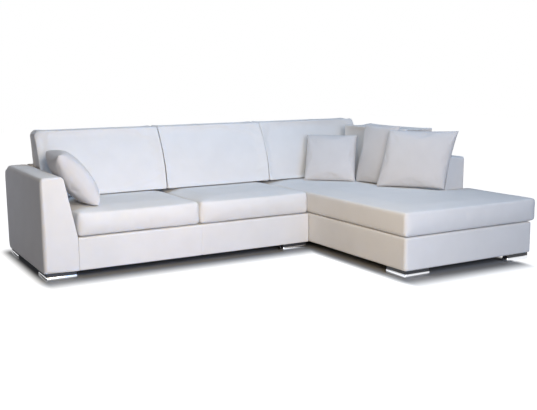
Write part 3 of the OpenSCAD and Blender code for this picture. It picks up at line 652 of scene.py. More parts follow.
def rounded_rect(a: Points, b: Points, rect: Rect) -> Points:
    """Signed distance from a rectangle with rounded corners, negative inside.

    Args:
        a: first coordinates.
        b: second coordinates.
        rect: lowest and highest corner, and radii at low-low, high-low, high-high and low-high.
    Returns:
        The distances.
    """
    low, high, radii = rect
    x = a - (low[0] + high[0]) / 2
    y = b - (low[1] + high[1]) / 2
    r = np.where(x > 0, np.where(y > 0, radii[2], radii[1]), np.where(y > 0, radii[3], radii[0]))
    qx = np.abs(x) - (high[0] - low[0]) / 2 + r
    qy = np.abs(y) - (high[1] - low[1]) / 2 + r
    return np.minimum(np.maximum(qx, qy), 0) + np.hypot(np.maximum(qx, 0), np.maximum(qy, 0)) - r


def arc_share(a: Points, b: Points) -> Points:
    """Scale that draws a square corner's points onto its arc, from their depths into the corner."""
    arc = np.maximum(a, b) / np.maximum(np.hypot(a, b), TINY)
    return np.where((a > 0) & (b > 0), arc, 1.0)


@dataclass(frozen=True)
class Puff:
    """Settings of one cloth simulation.

    Attributes:
        pressure: inner pressure.
        cap: how far a point may move, in metres.
        grow: how much larger than the start the cloth wants to be.
        bending: bending stiffness.
        frames: number of frames.
    """

    pressure: float = 4.0
    cap: float = 0.026
    grow: float = 0.012
    bending: float = 0.6
    frames: int = 20

    def add(self, obj: bpy.types.Object, held: Optional[Points]) -> bpy.types.Modifier:
        """Adds the cloth modifier.

        Args:
            obj: the piece.
            held: True for each vertex that stays, or None for a free piece.
        Returns:
            The modifier.
        """
        mod = obj.modifiers.new("Cloth", "CLOTH")
        s = mod.settings
        s.quality = 5
        s.mass = 0.3
        s.air_damping = 2.0
        s.tension_stiffness = s.compression_stiffness = 18.0
        s.shear_stiffness = 8.0
        s.bending_stiffness = self.bending
        s.use_pressure = True
        s.uniform_pressure_force = self.pressure
        s.shrink_min = -self.grow
        s.effector_weights.gravity = 0.0
        mod.collision_settings.use_collision = False
        mod.collision_settings.use_self_collision = False
        if held is not None:
            group = obj.vertex_groups.new(name="held")
            group.add([int(k) for k in np.where(held)[0]], 1.0, "REPLACE")
            s.vertex_group_mass = group.name
        mod.point_cache.frame_start = 1
        mod.point_cache.frame_end = self.frames
        return mod

    def run(self, obj: bpy.types.Object, held: Optional[Points]) -> None:
        """Blows the object up and keeps the result in its mesh.

        Args:
            obj: the piece.
            held: True for each vertex that stays, or None for a free piece.
        """
        start = read_points(obj.data)
        mod = self.add(obj, held)
        scene = bpy.context.scene
        for f in range(1, self.frames + 1):
            scene.frame_set(f)
        shown = obj.evaluated_get(bpy.context.evaluated_depsgraph_get())
        moved = read_points(shown.to_mesh())
        shown.to_mesh_clear()
        obj.modifiers.remove(mod)
        obj.vertex_groups.clear()
        scene.frame_set(1)
        step = moved - start
        size = np.maximum(np.linalg.norm(step, axis=1), TINY)[:, None]
        step *= np.minimum(size, self.cap) / size
        write_points(obj.data, start + step)
        log.info("simulated %s: largest move %.1f mm", obj.name, float(size.max()) * 1000)


def relax(obj: bpy.types.Object, times: int) -> None:
    """Smooths the mesh a little.

    Args:
        obj: the piece.
        times: number of passes.
    """

    def work(bm: bmesh.types.BMesh) -> None:
        """Smooths the bmesh."""
        for _ in range(times):
            bmesh.ops.smooth_vert(bm, verts=bm.verts[:], factor=0.5, use_axis_x=True,
                                  use_axis_y=True, use_axis_z=True)

    edit_mesh(obj, work)


def subdivide(obj: bpy.types.Object) -> None:
    """Adds one level of subdivision."""
    mod = obj.modifiers.new("Subdivision", "SUBSURF")
    mod.levels = mod.render_levels = 1


@dataclass(frozen=True)
class Wall:
    """A plane that a soft piece is pressed flat against.

    Attributes:
        axis: 0, 1 or 2.
        side: 1 keeps points above the place, -1 below it.
        place: the plane's place on the axis, or a function of the points.
    """

    axis: int
    side: int
    place: Union[float, Callable[[Points], Points]]

    def press(self, points: Points) -> None:
        """Moves the points that lie behind the plane onto it.

        Args:
            points: rows of places, changed here.
        """
        limit = self.place(points) if callable(self.place) else self.place
        bound = np.maximum if self.side > 0 else np.minimum
        points[:, self.axis] = bound(points[:, self.axis], limit)


@dataclass
class PaddedCover:
    """A padded cover over a part of the timber frame, with softened edges.

    Its section lies in (a, b) and runs along h. The section is one rectangle or two.

    Attributes:
        node: the frame's cover node.
        rects: the section's rectangles.
        length: length along h.
        ends: edge radius at the two ends.
        place: maps (a, b, h) to the sofa's space.
        stops: extra grid lines along a, b and h.
        groove: a seam across the cover, as its axis and place.
        bend: rounded corners in (h, b): centre, direction and radius of each.
        inner_end: share of the end radii that the far side of a has.
        cell: grid size.
        crown: how far the edges lie behind the middle of a face.
        seed: shifts its unevenness.
    """

    node: str
    rects: tuple[Rect, ...]
    length: float
    ends: Pair
    place: Callable[[Points], Points]
    stops: tuple[tuple[float, ...], tuple[float, ...], tuple[float, ...]] = ((), (), ())
    groove: Optional[tuple[int, float]] = None
    bend: tuple[tuple[float, float, int, int], ...] = ()
    inner_end: float = 1.0
    cell: float = 0.024
    crown: float = 0.003
    seed: float = 1.0

    # Distances of the extra grid lines from each end, and the least distance of two lines
    EDGE_LINES = (0.005, 0.012, 0.0195, 0.0215)
    CLOSEST = 0.0012
    # Depth of the seam's groove and of the unevenness
    GROOVE_DEPTH, WAVE_DEPTH = 0.004, 0.0007
    # Rounds of the projection onto the softened form
    PASSES = 5
    # Underside: width of its rim, the height that counts as underside, how far it is lifted
    RECESS_EDGE, RECESS_REACH, RECESS = 0.0205, 0.004, 0.006

    def distance(self, p: Points) -> Points:
        """Signed distance of local points from the softened cover.

        Args:
            p: rows of (a, b, h).
        Returns:
            The distances, negative inside.
        """
        flat = np.min([rounded_rect(p[:, 0], p[:, 1], rect) for rect in self.rects], axis=0)
        r = np.where(p[:, 2] < self.length / 2, *self.ends)
        across = p[:, 0] / self.rects[0][1][0]
        r = r * (1 + (self.inner_end - 1) * np.clip(across, 0, 1))
        qs, qt = flat + r, np.abs(p[:, 2] - self.length / 2) - self.length / 2 + r
        out = np.hypot(np.maximum(qs, 0), np.maximum(qt, 0))
        return np.minimum(np.maximum(qs, qt), 0) + out - r

    def outward(self, p: Points) -> Points:
        """Outward direction at each local point.

        Args:
            p: rows of (a, b, h).
        Returns:
            Rows of unit length.
        """
        h = 1e-4
        sides = [self.distance(p + step) - self.distance(p - step) for step in np.eye(3) * h]
        slope = np.column_stack(sides) / (2 * h)
        return slope / np.maximum(np.linalg.norm(slope, axis=1), SAME)[:, None]

    def lines(self, axis: int, ends: list[float]) -> Points:
        """Grid lines along an axis, close together near the ends.

        Args:
            axis: 0, 1 or 2.
            ends: where the section's rectangles begin and end on it.
        Returns:
            The places of the lines.
        """
        low, high = min(ends), max(ends)
        close = {e + side * off for e in ends for off in self.EDGE_LINES for side in (1, -1)}
        kept: list[float] = []
        for v in sorted({*ends, *self.stops[axis], *(v for v in close if low < v < high)}):
            if not kept or v - kept[-1] >= self.CLOSEST:
                kept.append(v)
        if kept[-1] < high - TINY:
            kept[-1] = high
        return steps(kept, self.cell)

    def build(self, mats: Finishes) -> None:
        """Makes the cover.

        Args:
            mats: the materials.
        """
        boxes = [rect[:2] for rect in self.rects]
        us, vs = (self.lines(k, sorted({c[k] for box in boxes for c in box})) for k in (0, 1))
        ws = self.lines(2, [0.0, self.length])
        bm = lattice_box(us, vs, ws, plan_test(boxes))
        obj = finish_mesh(bm, f"{self.node}_padding", mats.made[Slot.COVER])
        flat = read_points(obj.data)
        p = flat.copy()
        for _ in range(self.PASSES):
            p -= self.outward(p) * self.distance(p)[:, None]
        n = self.outward(p)
        p += n * self.sink(flat, p, n)[:, None]
        for h0, b0, sh, sb in self.bend:
            h, b = (p[:, 2] - h0) * sh, (p[:, 1] - b0) * sb
            draw = arc_share(h, b) - 1
            p[:, 2] += h * draw * sh
            p[:, 1] += b * draw * sb
        world = self.place(p)
        self.recess(world)
        write_points(obj.data, world)
        edit_mesh(obj, lambda bm: bmesh.ops.recalc_face_normals(bm, faces=bm.faces[:]))
        subdivide(obj)
        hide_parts(self.node)
        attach(obj, "frame")
        log.info("cover %s: %d points", self.node, len(p))

    def sink(self, flat: Points, p: Points, n: Points) -> Points:
        """How far each point moves along its outward direction, never outward.

        Args:
            flat: the points on the grid.
            p: the points on the softened cover.
            n: their outward directions.
        Returns:
            The moves.
        """
        low = np.array([*np.min([rect[0] for rect in self.rects], axis=0), 0.0])
        high = np.array([*np.max([rect[1] for rect in self.rects], axis=0), self.length])
        share = np.clip((p - low) / (high - low), 0, 1)
        a, b, h = (np.sin(share * math.pi) ** 0.4).T
        full = n[:, 0] ** 2 * b * h + n[:, 1] ** 2 * a * h + n[:, 2] ** 2 * a * b
        wave = self.WAVE_DEPTH * (hash_noise(self.place(p), 1.9, self.seed) - 1)
        move = wave - self.crown * (1 - full)
        if self.groove:
            axis, where = self.groove
            move -= np.where(np.abs(flat[:, axis] - where) < SAME, self.GROOVE_DEPTH, 0.0)
        return move

    def recess(self, world: Points) -> None:
        """Lifts the underside inside the modules' edges, so that the black cloth shows there.

        Args:
            world: points in the sofa's space, changed here.
        """
        x, y, z = world.T
        edge = self.RECESS_EDGE
        inside = np.zeros(len(world), bool)
        plans = ((LEFT, SPLIT - MODULE_GAP, SOFA_FRONT), (SPLIT + MODULE_GAP, RIGHT, FRONT))
        for x0, x1, y0 in plans:
            inside |= (x > x0 + edge) & (x < x1 - edge) & (y > y0 + edge) & (y < BACK - edge)
        world[inside & (z < BASE_Z + self.RECESS_REACH), 2] = BASE_Z + self.RECESS


@dataclass
class Upholstery:
    """The covers of the bases, the arms and the backs.

    Attributes:
        front_edge: edge radius round the arms' fronts.
        top_out: radius of the left arm's outer top edge.
        top_in: radius of the left arm's inner top edge.
        top_right: radius of the right arm's top edges.
        rear_top: radius of the rear top corner seen from the side.
        rear_low: radius of the rear bottom corner seen from the side.
        base_top: radius of the bases' top edges.
        corner: radius of the bases' upright corners.
        square: radius of edges that look square.
    """

    front_edge: float = 0.028
    top_out: float = 0.040
    top_in: float = 0.030
    top_right: float = 0.018
    rear_top: float = 0.095
    rear_low: float = 0.045
    base_top: float = 0.012
    corner: float = 0.022
    square: float = 0.002

    def arm(self, node: str, outer: float, side: int, front: float, seed: float) -> PaddedCover:
        """An arm: section across and up, run from its front to the rear.

        Args:
            node: the frame's cover node.
            outer: place of its outer face.
            side: 1 where it runs inwards to the right, -1 to the left.
            front: place of its front face.
            seed: shifts its unevenness.
        Returns:
            The cover.
        """
        length = BACK - front

        def place(p: Points) -> Points:
            """Puts (across, up, along) in the sofa's space, with the inner face sloping.

            Args:
                p: rows of local places.
            Returns:
                The places in the sofa's space.
            """
            z = BASE_Z + p[:, 1]
            x = outer + side * p[:, 0] * np.where(z > DECK_Z, wall_at(z), ARM_BASE) / ARM_BASE
            return np.column_stack([x, front + p[:, 2], z])

        top_in, top_out = (self.top_in, self.top_out) if side > 0 else (self.top_right,) * 2
        section = ((0.0, 0.0), (ARM_BASE, ARM_H), (0.006, self.square, top_in, top_out))
        bend = ((length - self.rear_top, ARM_H - self.rear_top, 1, 1),
                (length - self.rear_low, self.rear_low, 1, -1))
        stops = ((), (BASE_H,), (length - self.rear_top, length - 0.04))
        return PaddedCover(node, (section,), length, (self.front_edge, 0.008), place, stops,
                           bend=bend, inner_end=0.06, crown=0.002, seed=seed)

    def back(self, node: str, x0: float, x1: float, slopes: tuple[bool, bool],
             seed: float) -> PaddedCover:
        """A back: section from the rear forwards and up, run across.

        Args:
            node: the frame's cover node.
            x0: left end at the base.
            x1: right end at the base.
            slopes: True where its left and its right end meet a sloping arm.
            seed: shifts its unevenness.
        Returns:
            The cover.
        """
        length = x1 - x0

        def place(p: Points) -> Points:
            """Puts (forwards, up, across) in the sofa's space, between the sloping arms.

            Args:
                p: rows of local places.
            Returns:
                The places in the sofa's space.
            """
            z = BASE_Z + p[:, 1]
            wall = np.where(z > DECK_Z, wall_at(z), ARM_BASE)
            left = x0 - (ARM_BASE - wall) * slopes[0]
            right = x1 + (ARM_BASE - wall) * slopes[1]
            x = left + (right - left) * p[:, 2] / length
            return np.column_stack([x, BACK - p[:, 0] * wall / ARM_BASE, z])

        radii = (self.rear_low, self.square, self.top_in, self.rear_top)
        return PaddedCover(node, (((0.0, 0.0), (ARM_BASE, ARM_H), radii),), length, (0.003, 0.003),
                           place, ((), (BASE_H,), ()), cell=0.03, seed=seed)

    def sofa_base(self) -> PaddedCover:
        """The two-seat module's base, its plan run upwards, with the seam in its front.

        Returns:
            The cover.
        """
        width, depth = SPLIT - MODULE_GAP - LEFT_IN, BACK_IN - SOFA_FRONT
        seam, beside, past = SEAM - LEFT_IN + 0.006, 0.005, 0.0035

        def place(p: Points) -> Points:
            """Moves the plan to its place, its left end a little past the arm's face.

            Args:
                p: rows of local places.
            Returns:
                The places in the sofa's space.
            """
            close = np.zeros_like(p)
            close[:, 0] = past * (1 - p[:, 0] / width)
            return p - close + np.array([LEFT_IN, SOFA_FRONT, BASE_Z])

        plan = ((0.0, 0.0), (width, depth), (self.square, 0.004, self.square, self.square))
        stops = ((seam - beside, seam, seam + beside), (), ())
        return PaddedCover("sofa_base_cover", (plan,), BASE_H, (0.007, self.base_top), place,
                           stops, (0, seam), cell=0.03, crown=0.002, seed=2.0)

    def chaise_base(self) -> PaddedCover:
        """The chaise module's base, an L-shaped plan run upwards.

        Returns:
            The cover.
        """
        x0 = SPLIT + MODULE_GAP

        def place(p: Points) -> Points:
            """Moves the plan to its place."""
            return p + np.array([x0, FRONT, BASE_Z])

        corner, square = self.corner, self.square
        wide = ((0.0, 0.0), (RIGHT - x0, ARM_FRONT - FRONT), (corner, corner, 0.004, corner))
        deep = ((0.0, 0.0), (RIGHT_IN - x0, BACK_IN - FRONT), (corner, square, square, square))
        return PaddedCover("chaise_base_cover", (wide, deep), BASE_H, (0.012, self.base_top), place,
                           cell=0.032, crown=0.002, seed=3.0)

    def build(self, mats: Finishes) -> None:
        """Makes all the covers.

        Args:
            mats: the materials.
        """
        covers = (
            self.sofa_base(),
            self.chaise_base(),
            self.arm("left_arm_cover", LEFT, 1, SOFA_FRONT, 4.0),
            self.arm("right_arm_cover", RIGHT, -1, ARM_FRONT, 5.0),
            self.back("sofa_back_cover", LEFT_IN, SPLIT - MODULE_GAP, (True, False), 6.0),
            self.back("chaise_back_cover", SPLIT + MODULE_GAP, RIGHT_IN, (False, True), 7.0),
        )
        for cover in covers:
            cover.build(mats)


@dataclass
class Feet:
    """The chromed L-shaped feet.

    Attributes:
        leg: length of each leg.
        width: width of each leg.
        height: height.
        edge: radius of the polished edges.
        rim: width of the flat rim inside the rounded edges.
        hollows: direction and depth of the hollows in the underside and the top.
    """

    leg: float = 0.190
    width: float = 0.050
    height: float = 0.030
    edge: float = 0.008
    rim: float = 0.0005
    hollows: tuple[tuple[int, float], ...] = ((-1, -0.006), (1, -0.008))

    def build(self, mats: Finishes) -> None:
        """Makes each foot over its node of the frame.

        Args:
            mats: the materials.
        """
        fixings = ("foot_spacers", "foot_screws")
        for node in [n for n in frame["nodes"] if n.startswith("foot_") and n not in fixings]:
            self.foot(node, mats)

    def foot(self, node: str, mats: Finishes) -> None:
        """Makes one foot: an L-shaped plan extruded up, its edges bevelled and its faces hollowed.

        Args:
            node: the foot's node.
            mats: the materials.
        """
        low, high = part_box(node)
        sx = 1 if "left" in node or "chaise_inner" in node else -1
        sy = 1 if node.endswith("front") else -1
        wide = self.width
        lines = np.array([0.0, wide, self.leg])
        bm = lattice_box(lines, lines, np.array([0.0, self.height]),
                         lambda u, v: u < wide or v < wide)
        bmesh.ops.recalc_face_normals(bm, faces=bm.faces[:])
        bmesh.ops.dissolve_limit(bm, angle_limit=0.01, verts=bm.verts[:], edges=bm.edges[:])
        sharp = [e for e in bm.edges if len(e.link_faces) == 2 and e.calc_face_angle() > 0.5]
        bmesh.ops.bevel(bm, geom=sharp, offset=self.edge, segments=4, profile=0.5, affect="EDGES",
                        material=-1, clamp_overlap=True)
        for up, depth in self.hollows:
            flat = [f for f in bm.faces if f.normal.z * up > 0.999]
            bmesh.ops.inset_region(bm, faces=flat, thickness=self.rim, depth=0.0,
                                   use_even_offset=True)
            made = bmesh.ops.extrude_face_region(bm, geom=flat)["geom"]
            raise_verts(bm, made, up * depth)
            bmesh.ops.delete(bm, geom=flat, context="FACES_ONLY")
        for v in bm.verts:
            x = low[0] + v.co.x if sx > 0 else high[0] - v.co.x
            y = low[1] + v.co.y if sy > 0 else high[1] - v.co.y
            v.co = (x, y, v.co.z)
        obj = finish_mesh(bm, f"{node}_shell", mats.made[Slot.CHROME])
        obj.data.set_sharp_from_angle(angle=math.radians(40))
        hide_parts(node)
        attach(obj, "frame")
        log.info("foot %s", node)


@dataclass
class Cushion:
    """A boxed cushion: two panels and a strip between them, seams held, blown up as cloth.

    Attributes:
        node: the frame's cushion node.
        core: the frame's core node.
        body: the body it rides on.
        size: width, height and nominal depth of the box in (u, v, w).
        place: maps rounded local points to the sofa's space.
        walls: planes that it is pressed flat against.
        low: edge radius at the low side of each local axis.
        high: edge radius at the high side of each local axis.
        seed: not used; its place function shifts its unevenness by the same number.
        puff: the simulation's settings.
        boxes: the plan as boxes in (u, v), if it isn't one.
        top: height that its crown is brought to, if any.
        cell: grid size.
        crisp: how far its seams keep their place when it is smoothed.
    """

    node: str
    core: str
    body: str
    size: Triple
    place: Callable[[Points], Points]
    walls: tuple[Wall, ...]
    low: Triple
    high: Triple
    seed: float
    puff: Puff
    boxes: Optional[list[Box]] = None
    top: Optional[float] = None
    cell: float = 0.0115
    crisp: float = 0.4

    def plan(self) -> list[Box]:
        """The plan's boxes."""
        return self.boxes or [((0.0, 0.0), self.size[:2])]

    def rounded(self, flat: Points) -> Points:
        """Rounds the grid box's edges; of two boxes, each point takes the one that holds it.

        Args:
            flat: the points on the grid.
        Returns:
            The rounded local points.
        """
        spots, moves = [], []
        for a, b in self.plan():
            origin = np.array([*a, 0.0])
            size = np.array([b[0] - a[0], b[1] - a[1], self.size[2]])
            q = rounded_box(flat - origin, size, np.array(self.low), np.array(self.high)) + origin
            held = np.all((flat >= origin - SAME) & (flat <= origin + size + SAME), axis=1)
            spots.append(q)
            moves.append(np.where(held, np.linalg.norm(flat - q, axis=1), np.inf))
        return np.array(spots)[np.argmin(moves, axis=0), np.arange(len(flat))]

    def rim(self, flat: Points) -> Points:
        """Finds the points on the two seams.

        Args:
            flat: the points on the grid.
        Returns:
            True for each point on a seam.
        """
        edge = np.max([np.min([flat[:, 0] - a[0], b[0] - flat[:, 0], flat[:, 1] - a[1],
                               b[1] - flat[:, 1]], axis=0) for a, b in self.plan()], axis=0)
        return (np.abs(edge) < SAME) & ((flat[:, 2] < SAME) | (flat[:, 2] > self.size[2] - SAME))

    def level(self, q: Points) -> None:
        """Brings the crown to its height by scaling what lies near it.

        Args:
            q: the blown points, changed here.
        """
        low = EDGE_Z - 0.010
        over = q[:, 2] > low
        top = q[over, 2].max()
        q[over, 2] = low + (q[over, 2] - low) * (self.top - low) / (top - low)

    def build(self, mats: Finishes) -> None:
        """Makes the cushion.

        Args:
            mats: the materials.
        """
        plan = self.plan()
        us, vs = (steps(sorted({c[k] for box in plan for c in box}), self.cell) for k in (0, 1))
        bm = lattice_box(us, vs, steps([0.0, self.size[2]], self.cell), plan_test(plan))
        obj = finish_mesh(bm, f"{self.node}_soft", mats.made[Slot.COVER])
        flat = read_points(obj.data)
        rim = self.rim(flat)
        write_points(obj.data, self.place(self.rounded(flat)))
        self.puff.run(obj, rim)
        moved = read_points(obj.data)
        if self.top is not None:
            self.level(moved)
        write_points(obj.data, moved)
        relax(obj, 2)
        seam = moved[rim]
        moved = read_points(obj.data)
        moved[rim] += (seam - moved[rim]) * self.crisp
        for wall in self.walls:
            wall.press(moved)
        write_points(obj.data, moved)
        subdivide(obj)
        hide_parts(self.node, self.core)
        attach(obj, self.body)
        log.info("cushion %s: %d points", self.node, len(moved))


def seat(names: Names, x0: float, x1: float, y0: float, seed: float,
         notch: bool = False) -> Cushion:
    """A seat cushion between two lines across, from y0 to the back.

    Args:
        names: the frame's cushion node and core node, and its body.
        x0: left edge.
        x1: right edge.
        y0: front edge.
        seed: shifts its unevenness.
        notch: True for the chaise, which runs in front of the right arm too.
    Returns:
        The cushion.
    """
    y1, height = BACK_IN - GAP, EDGE_Z - SEAT_Z
    wave, swell, swell_reach = 0.0015, 0.002, 0.05

    def place(p: Points) -> Points:
        """Moves the box to its place and swells its front.

        Args:
            p: rows of local places.
        Returns:
            The places in the sofa's space.
        """
        q = p.copy()
        q[:, 0] += x0
        q[:, 1] += y0
        q[:, 2] += SEAT_Z
        middle = np.sin(np.clip(p[:, 2] / height, 0, 1) * math.pi)
        q[:, 2] += wave * hash_noise(q, 1.3, seed) * (p[:, 2] > height * 0.5)
        back = swell * hash_noise(q, 1.7, seed + 2) + swell * middle
        q[:, 1] += np.where(p[:, 1] < swell_reach, back, 0)
        return q

    walls = (Wall(2, 1, SEAT_Z), Wall(2, -1, SEAT_TOP), Wall(0, 1, x0 - SPARE),
             Wall(1, -1, y1 + SPARE))
    size = (x1 - x0, y1 - y0, height)
    puff = Puff(grow=0.005, bending=1.5)
    if not notch:
        return Cushion(*names, size, place, (*walls, Wall(0, -1, x1 + SPARE)),
                       (0.024, 0.036, 0.022), (0.024, 0.020, 0.048), seed, puff, top=SEAT_TOP,
                       cell=0.0122)
    boxes = [((0.0, 0.0), (x1 - x0, ARM_FRONT - 0.003 - y0)),
             ((0.0, 0.0), (RIGHT_IN - GAP - x0, y1 - y0))]
    return Cushion(*names, size, place, walls, (0.012, 0.022, 0.018), (0.045, 0.020, 0.026), seed,
                   puff, boxes, SEAT_TOP, 0.0145)


@dataclass(frozen=True)
class Wedge:
    """Shape of a cushion that leans on a sloping wall.

    Attributes:
        height: height.
        front: depth places of the front face at the foot and at the top.
        rear: depth places of the rear face at the foot and at the top.
        crown: bulge of the front.
        ears: how far the top sags between its corners.
        foot: how far the front draws back at its foot.
        head: how far the front draws back at its top.
        corners: radius of its outline at the left and right top corners.
        draw: how far its front draws back at its left edge, and over which width.
    """

    height: float
    front: Pair
    rear: Pair
    crown: float
    ears: float = -0.003
    foot: float = 0.042
    head: float = 0.040
    corners: Pair = (0.012, 0.012)
    draw: Pair = (0.012, 0.06)

    # Edge radii at the low and the high side of (u, v, w)
    LOW, HIGH = (0.005, 0.018, 0.012), (0.005, 0.024, 0.020)
    # Share of the height where the top begins to sag, and the rest above it
    SAG_FROM, SAG_OVER = 0.7, 0.3
    # Height of the front's unevenness
    WAVE = 0.003

    def face(self, x: Points, v: Points) -> Points:
        """Depth place of the front face.

        Args:
            x: places along the width.
            v: shares of the height.
        Returns:
            The depth places.
        """
        face = self.front[0] + (self.front[1] - self.front[0]) * v
        low, high = np.clip(1 - v / 0.5, 0, 1) ** 2, np.clip(v / 0.55 - 0.82, 0, 1) ** 2
        face += self.foot * low + self.head * high
        face += self.draw[0] * np.clip(1 - x / self.draw[1], 0, 1) ** 2
        return face

    def cushion(self, names: Names, width: float,
                to_world: Callable[[Points, Points, Points], Points],
                shift: Callable[[Points], Points], walls: tuple[Wall, ...], seed: float) -> Cushion:
        """A back or side cushion: u along its width, v up, w from its front to its rear.

        Args:
            names: the frame's cushion node and core node, and its body.
            width: width.
            to_world: maps (along, depth, height) to the sofa's space.
            shift: sideways lean by the share of the height.
            walls: planes that it is pressed flat against.
            seed: shifts its unevenness.
        Returns:
            The cushion.
        """
        height = self.height
        depth = (self.rear[0] - self.front[0] + self.rear[1] - self.front[1]) / 2

        def place(p: Points) -> Points:
            """Shapes the box between the front and the rear face.

            Args:
                p: rows of local places.
            Returns:
                The places in the sofa's space.
            """
            p = p.copy()
            first = p[:, 0] < width / 2
            side, top = np.minimum(p[:, 0], width - p[:, 0]), height - p[:, 1]
            corner = np.where(first, *self.corners)
            a, b = np.maximum(corner - side, 0), np.maximum(corner - top, 0)
            share = arc_share(a, b)
            p[:, 0] += np.where(first, 1.0, -1.0) * a * (1 - share)
            p[:, 1] -= b * (1 - share)
            u, v, w = p[:, 0] / width, p[:, 1] / height, p[:, 2] / depth
            front = self.face(p[:, 0], v)
            rear = self.rear[0] + (self.rear[1] - self.rear[0]) * v
            along = p[:, 0] + shift(v) * (1 - u)
            arch = np.sin(math.pi * np.clip(u, 0, 1)) ** 0.5
            up = p[:, 1] - self.ears * np.clip((v - self.SAG_FROM) / self.SAG_OVER, 0, 1) * arch
            deep = front + (rear - front) * w
            wave = self.WAVE * hash_noise(p, 1.6, seed)
            return to_world(along, deep + wave * (w < 0.5), up)

        return Cushion(*names, (width, height, depth), place, walls, self.LOW, self.HIGH, seed,
                       Puff(cap=self.crown + 0.006), crisp=0.8)


BACK_Z = SEAT_TOP + TOUCH
BACK_H, SIDE_H = 0.437, 0.406


def rear_plane(z: Union[float, Points]) -> Union[float, Points]:
    """Place of the back's inner face along Y, with the gap to it."""
    return BACK - wall_at(z) - TOUCH


def side_plane(z: Union[float, Points]) -> Union[float, Points]:
    """Place of the right arm's inner face along X, with the gap to it."""
    return RIGHT - wall_at(z) - TOUCH


BACK_WEDGE = Wedge(BACK_H, (rear_plane(BACK_Z) - 0.268, rear_plane(BACK_Z + BACK_H) - 0.189),
                   (rear_plane(BACK_Z), rear_plane(BACK_Z + BACK_H)), 0.018)
END_WEDGE = replace(BACK_WEDGE, corners=(0.045, 0.012), draw=(0.048, 0.13))
SIDE_WEDGE = Wedge(SIDE_H, (side_plane(BACK_Z) - 0.263, side_plane(BACK_Z + SIDE_H) - 0.265),
                   (side_plane(BACK_Z), side_plane(BACK_Z + SIDE_H)), 0.010, ears=0.006,
                   foot=0.012, head=0.004, corners=(0.004, 0.008), draw=(0.0, 0.05))


def back_rest(names: Names, x0: float, x1: float, seed: float,
              wedge: Wedge = BACK_WEDGE, lean: float = 0.0) -> Cushion:
    """A back cushion between two lines across.

    Args:
        names: the frame's cushion node and core node, and its body.
        x0: left edge.
        x1: right edge.
        seed: shifts its unevenness.
        wedge: its shape.
        lean: how much its left side moves in at the foot.
    Returns:
        The cushion.
    """
    lean_height = 0.14

    def to_world(along: Points, deep: Points, up: Points) -> Points:
        """Puts the shape in the sofa's space."""
        return np.column_stack([x0 + along, deep, BACK_Z + up])

    def shift(v: Points) -> Points:
        """Sideways lean at each share of the height."""
        return lean * np.maximum(0, 1 - v * BACK_H / lean_height)

    def left(q: Points) -> Points:
        """Place of the left side's limit."""
        return x0 - SPARE + lean * np.maximum(0, 1 - (q[:, 2] - BACK_Z) / lean_height)

    walls = (Wall(2, 1, BACK_Z), Wall(1, -1, lambda q: rear_plane(q[:, 2])), Wall(0, 1, left),
             Wall(0, -1, x1 + SPARE))
    return wedge.cushion(names, x1 - x0, to_world, shift, walls, seed)


def side_rest(names: Names, width: float, seed: float) -> Cushion:
    """The side cushion on the right arm; its u runs from the back to the front.

    Args:
        names: the frame's cushion node and core node, and its body.
        width: width.
        seed: shifts its unevenness.
    Returns:
        The cushion.
    """
    lean, curl, past = 0.055, 0.010, 0.012
    end = BACK_WEDGE.front[0] - 0.008 + lean

    def to_world(along: Points, deep: Points, up: Points) -> Points:
        """Puts the shape in the sofa's space."""
        return np.column_stack([deep, end - along, BACK_Z + up])

    def shift(v: Points) -> Points:
        """Sideways lean at each share of the height."""
        return lean * (1 - v) - curl * v ** 6

    def rear(q: Points) -> Points:
        """Place of the limit towards the back cushion."""
        return end + past - lean * (1 - (q[:, 2] - BACK_Z) / SIDE_H)

    walls = (Wall(2, 1, BACK_Z), Wall(0, -1, lambda q: side_plane(q[:, 2])), Wall(1, -1, rear))
    return SIDE_WEDGE.cushion(names, width, to_world, shift, walls, seed)


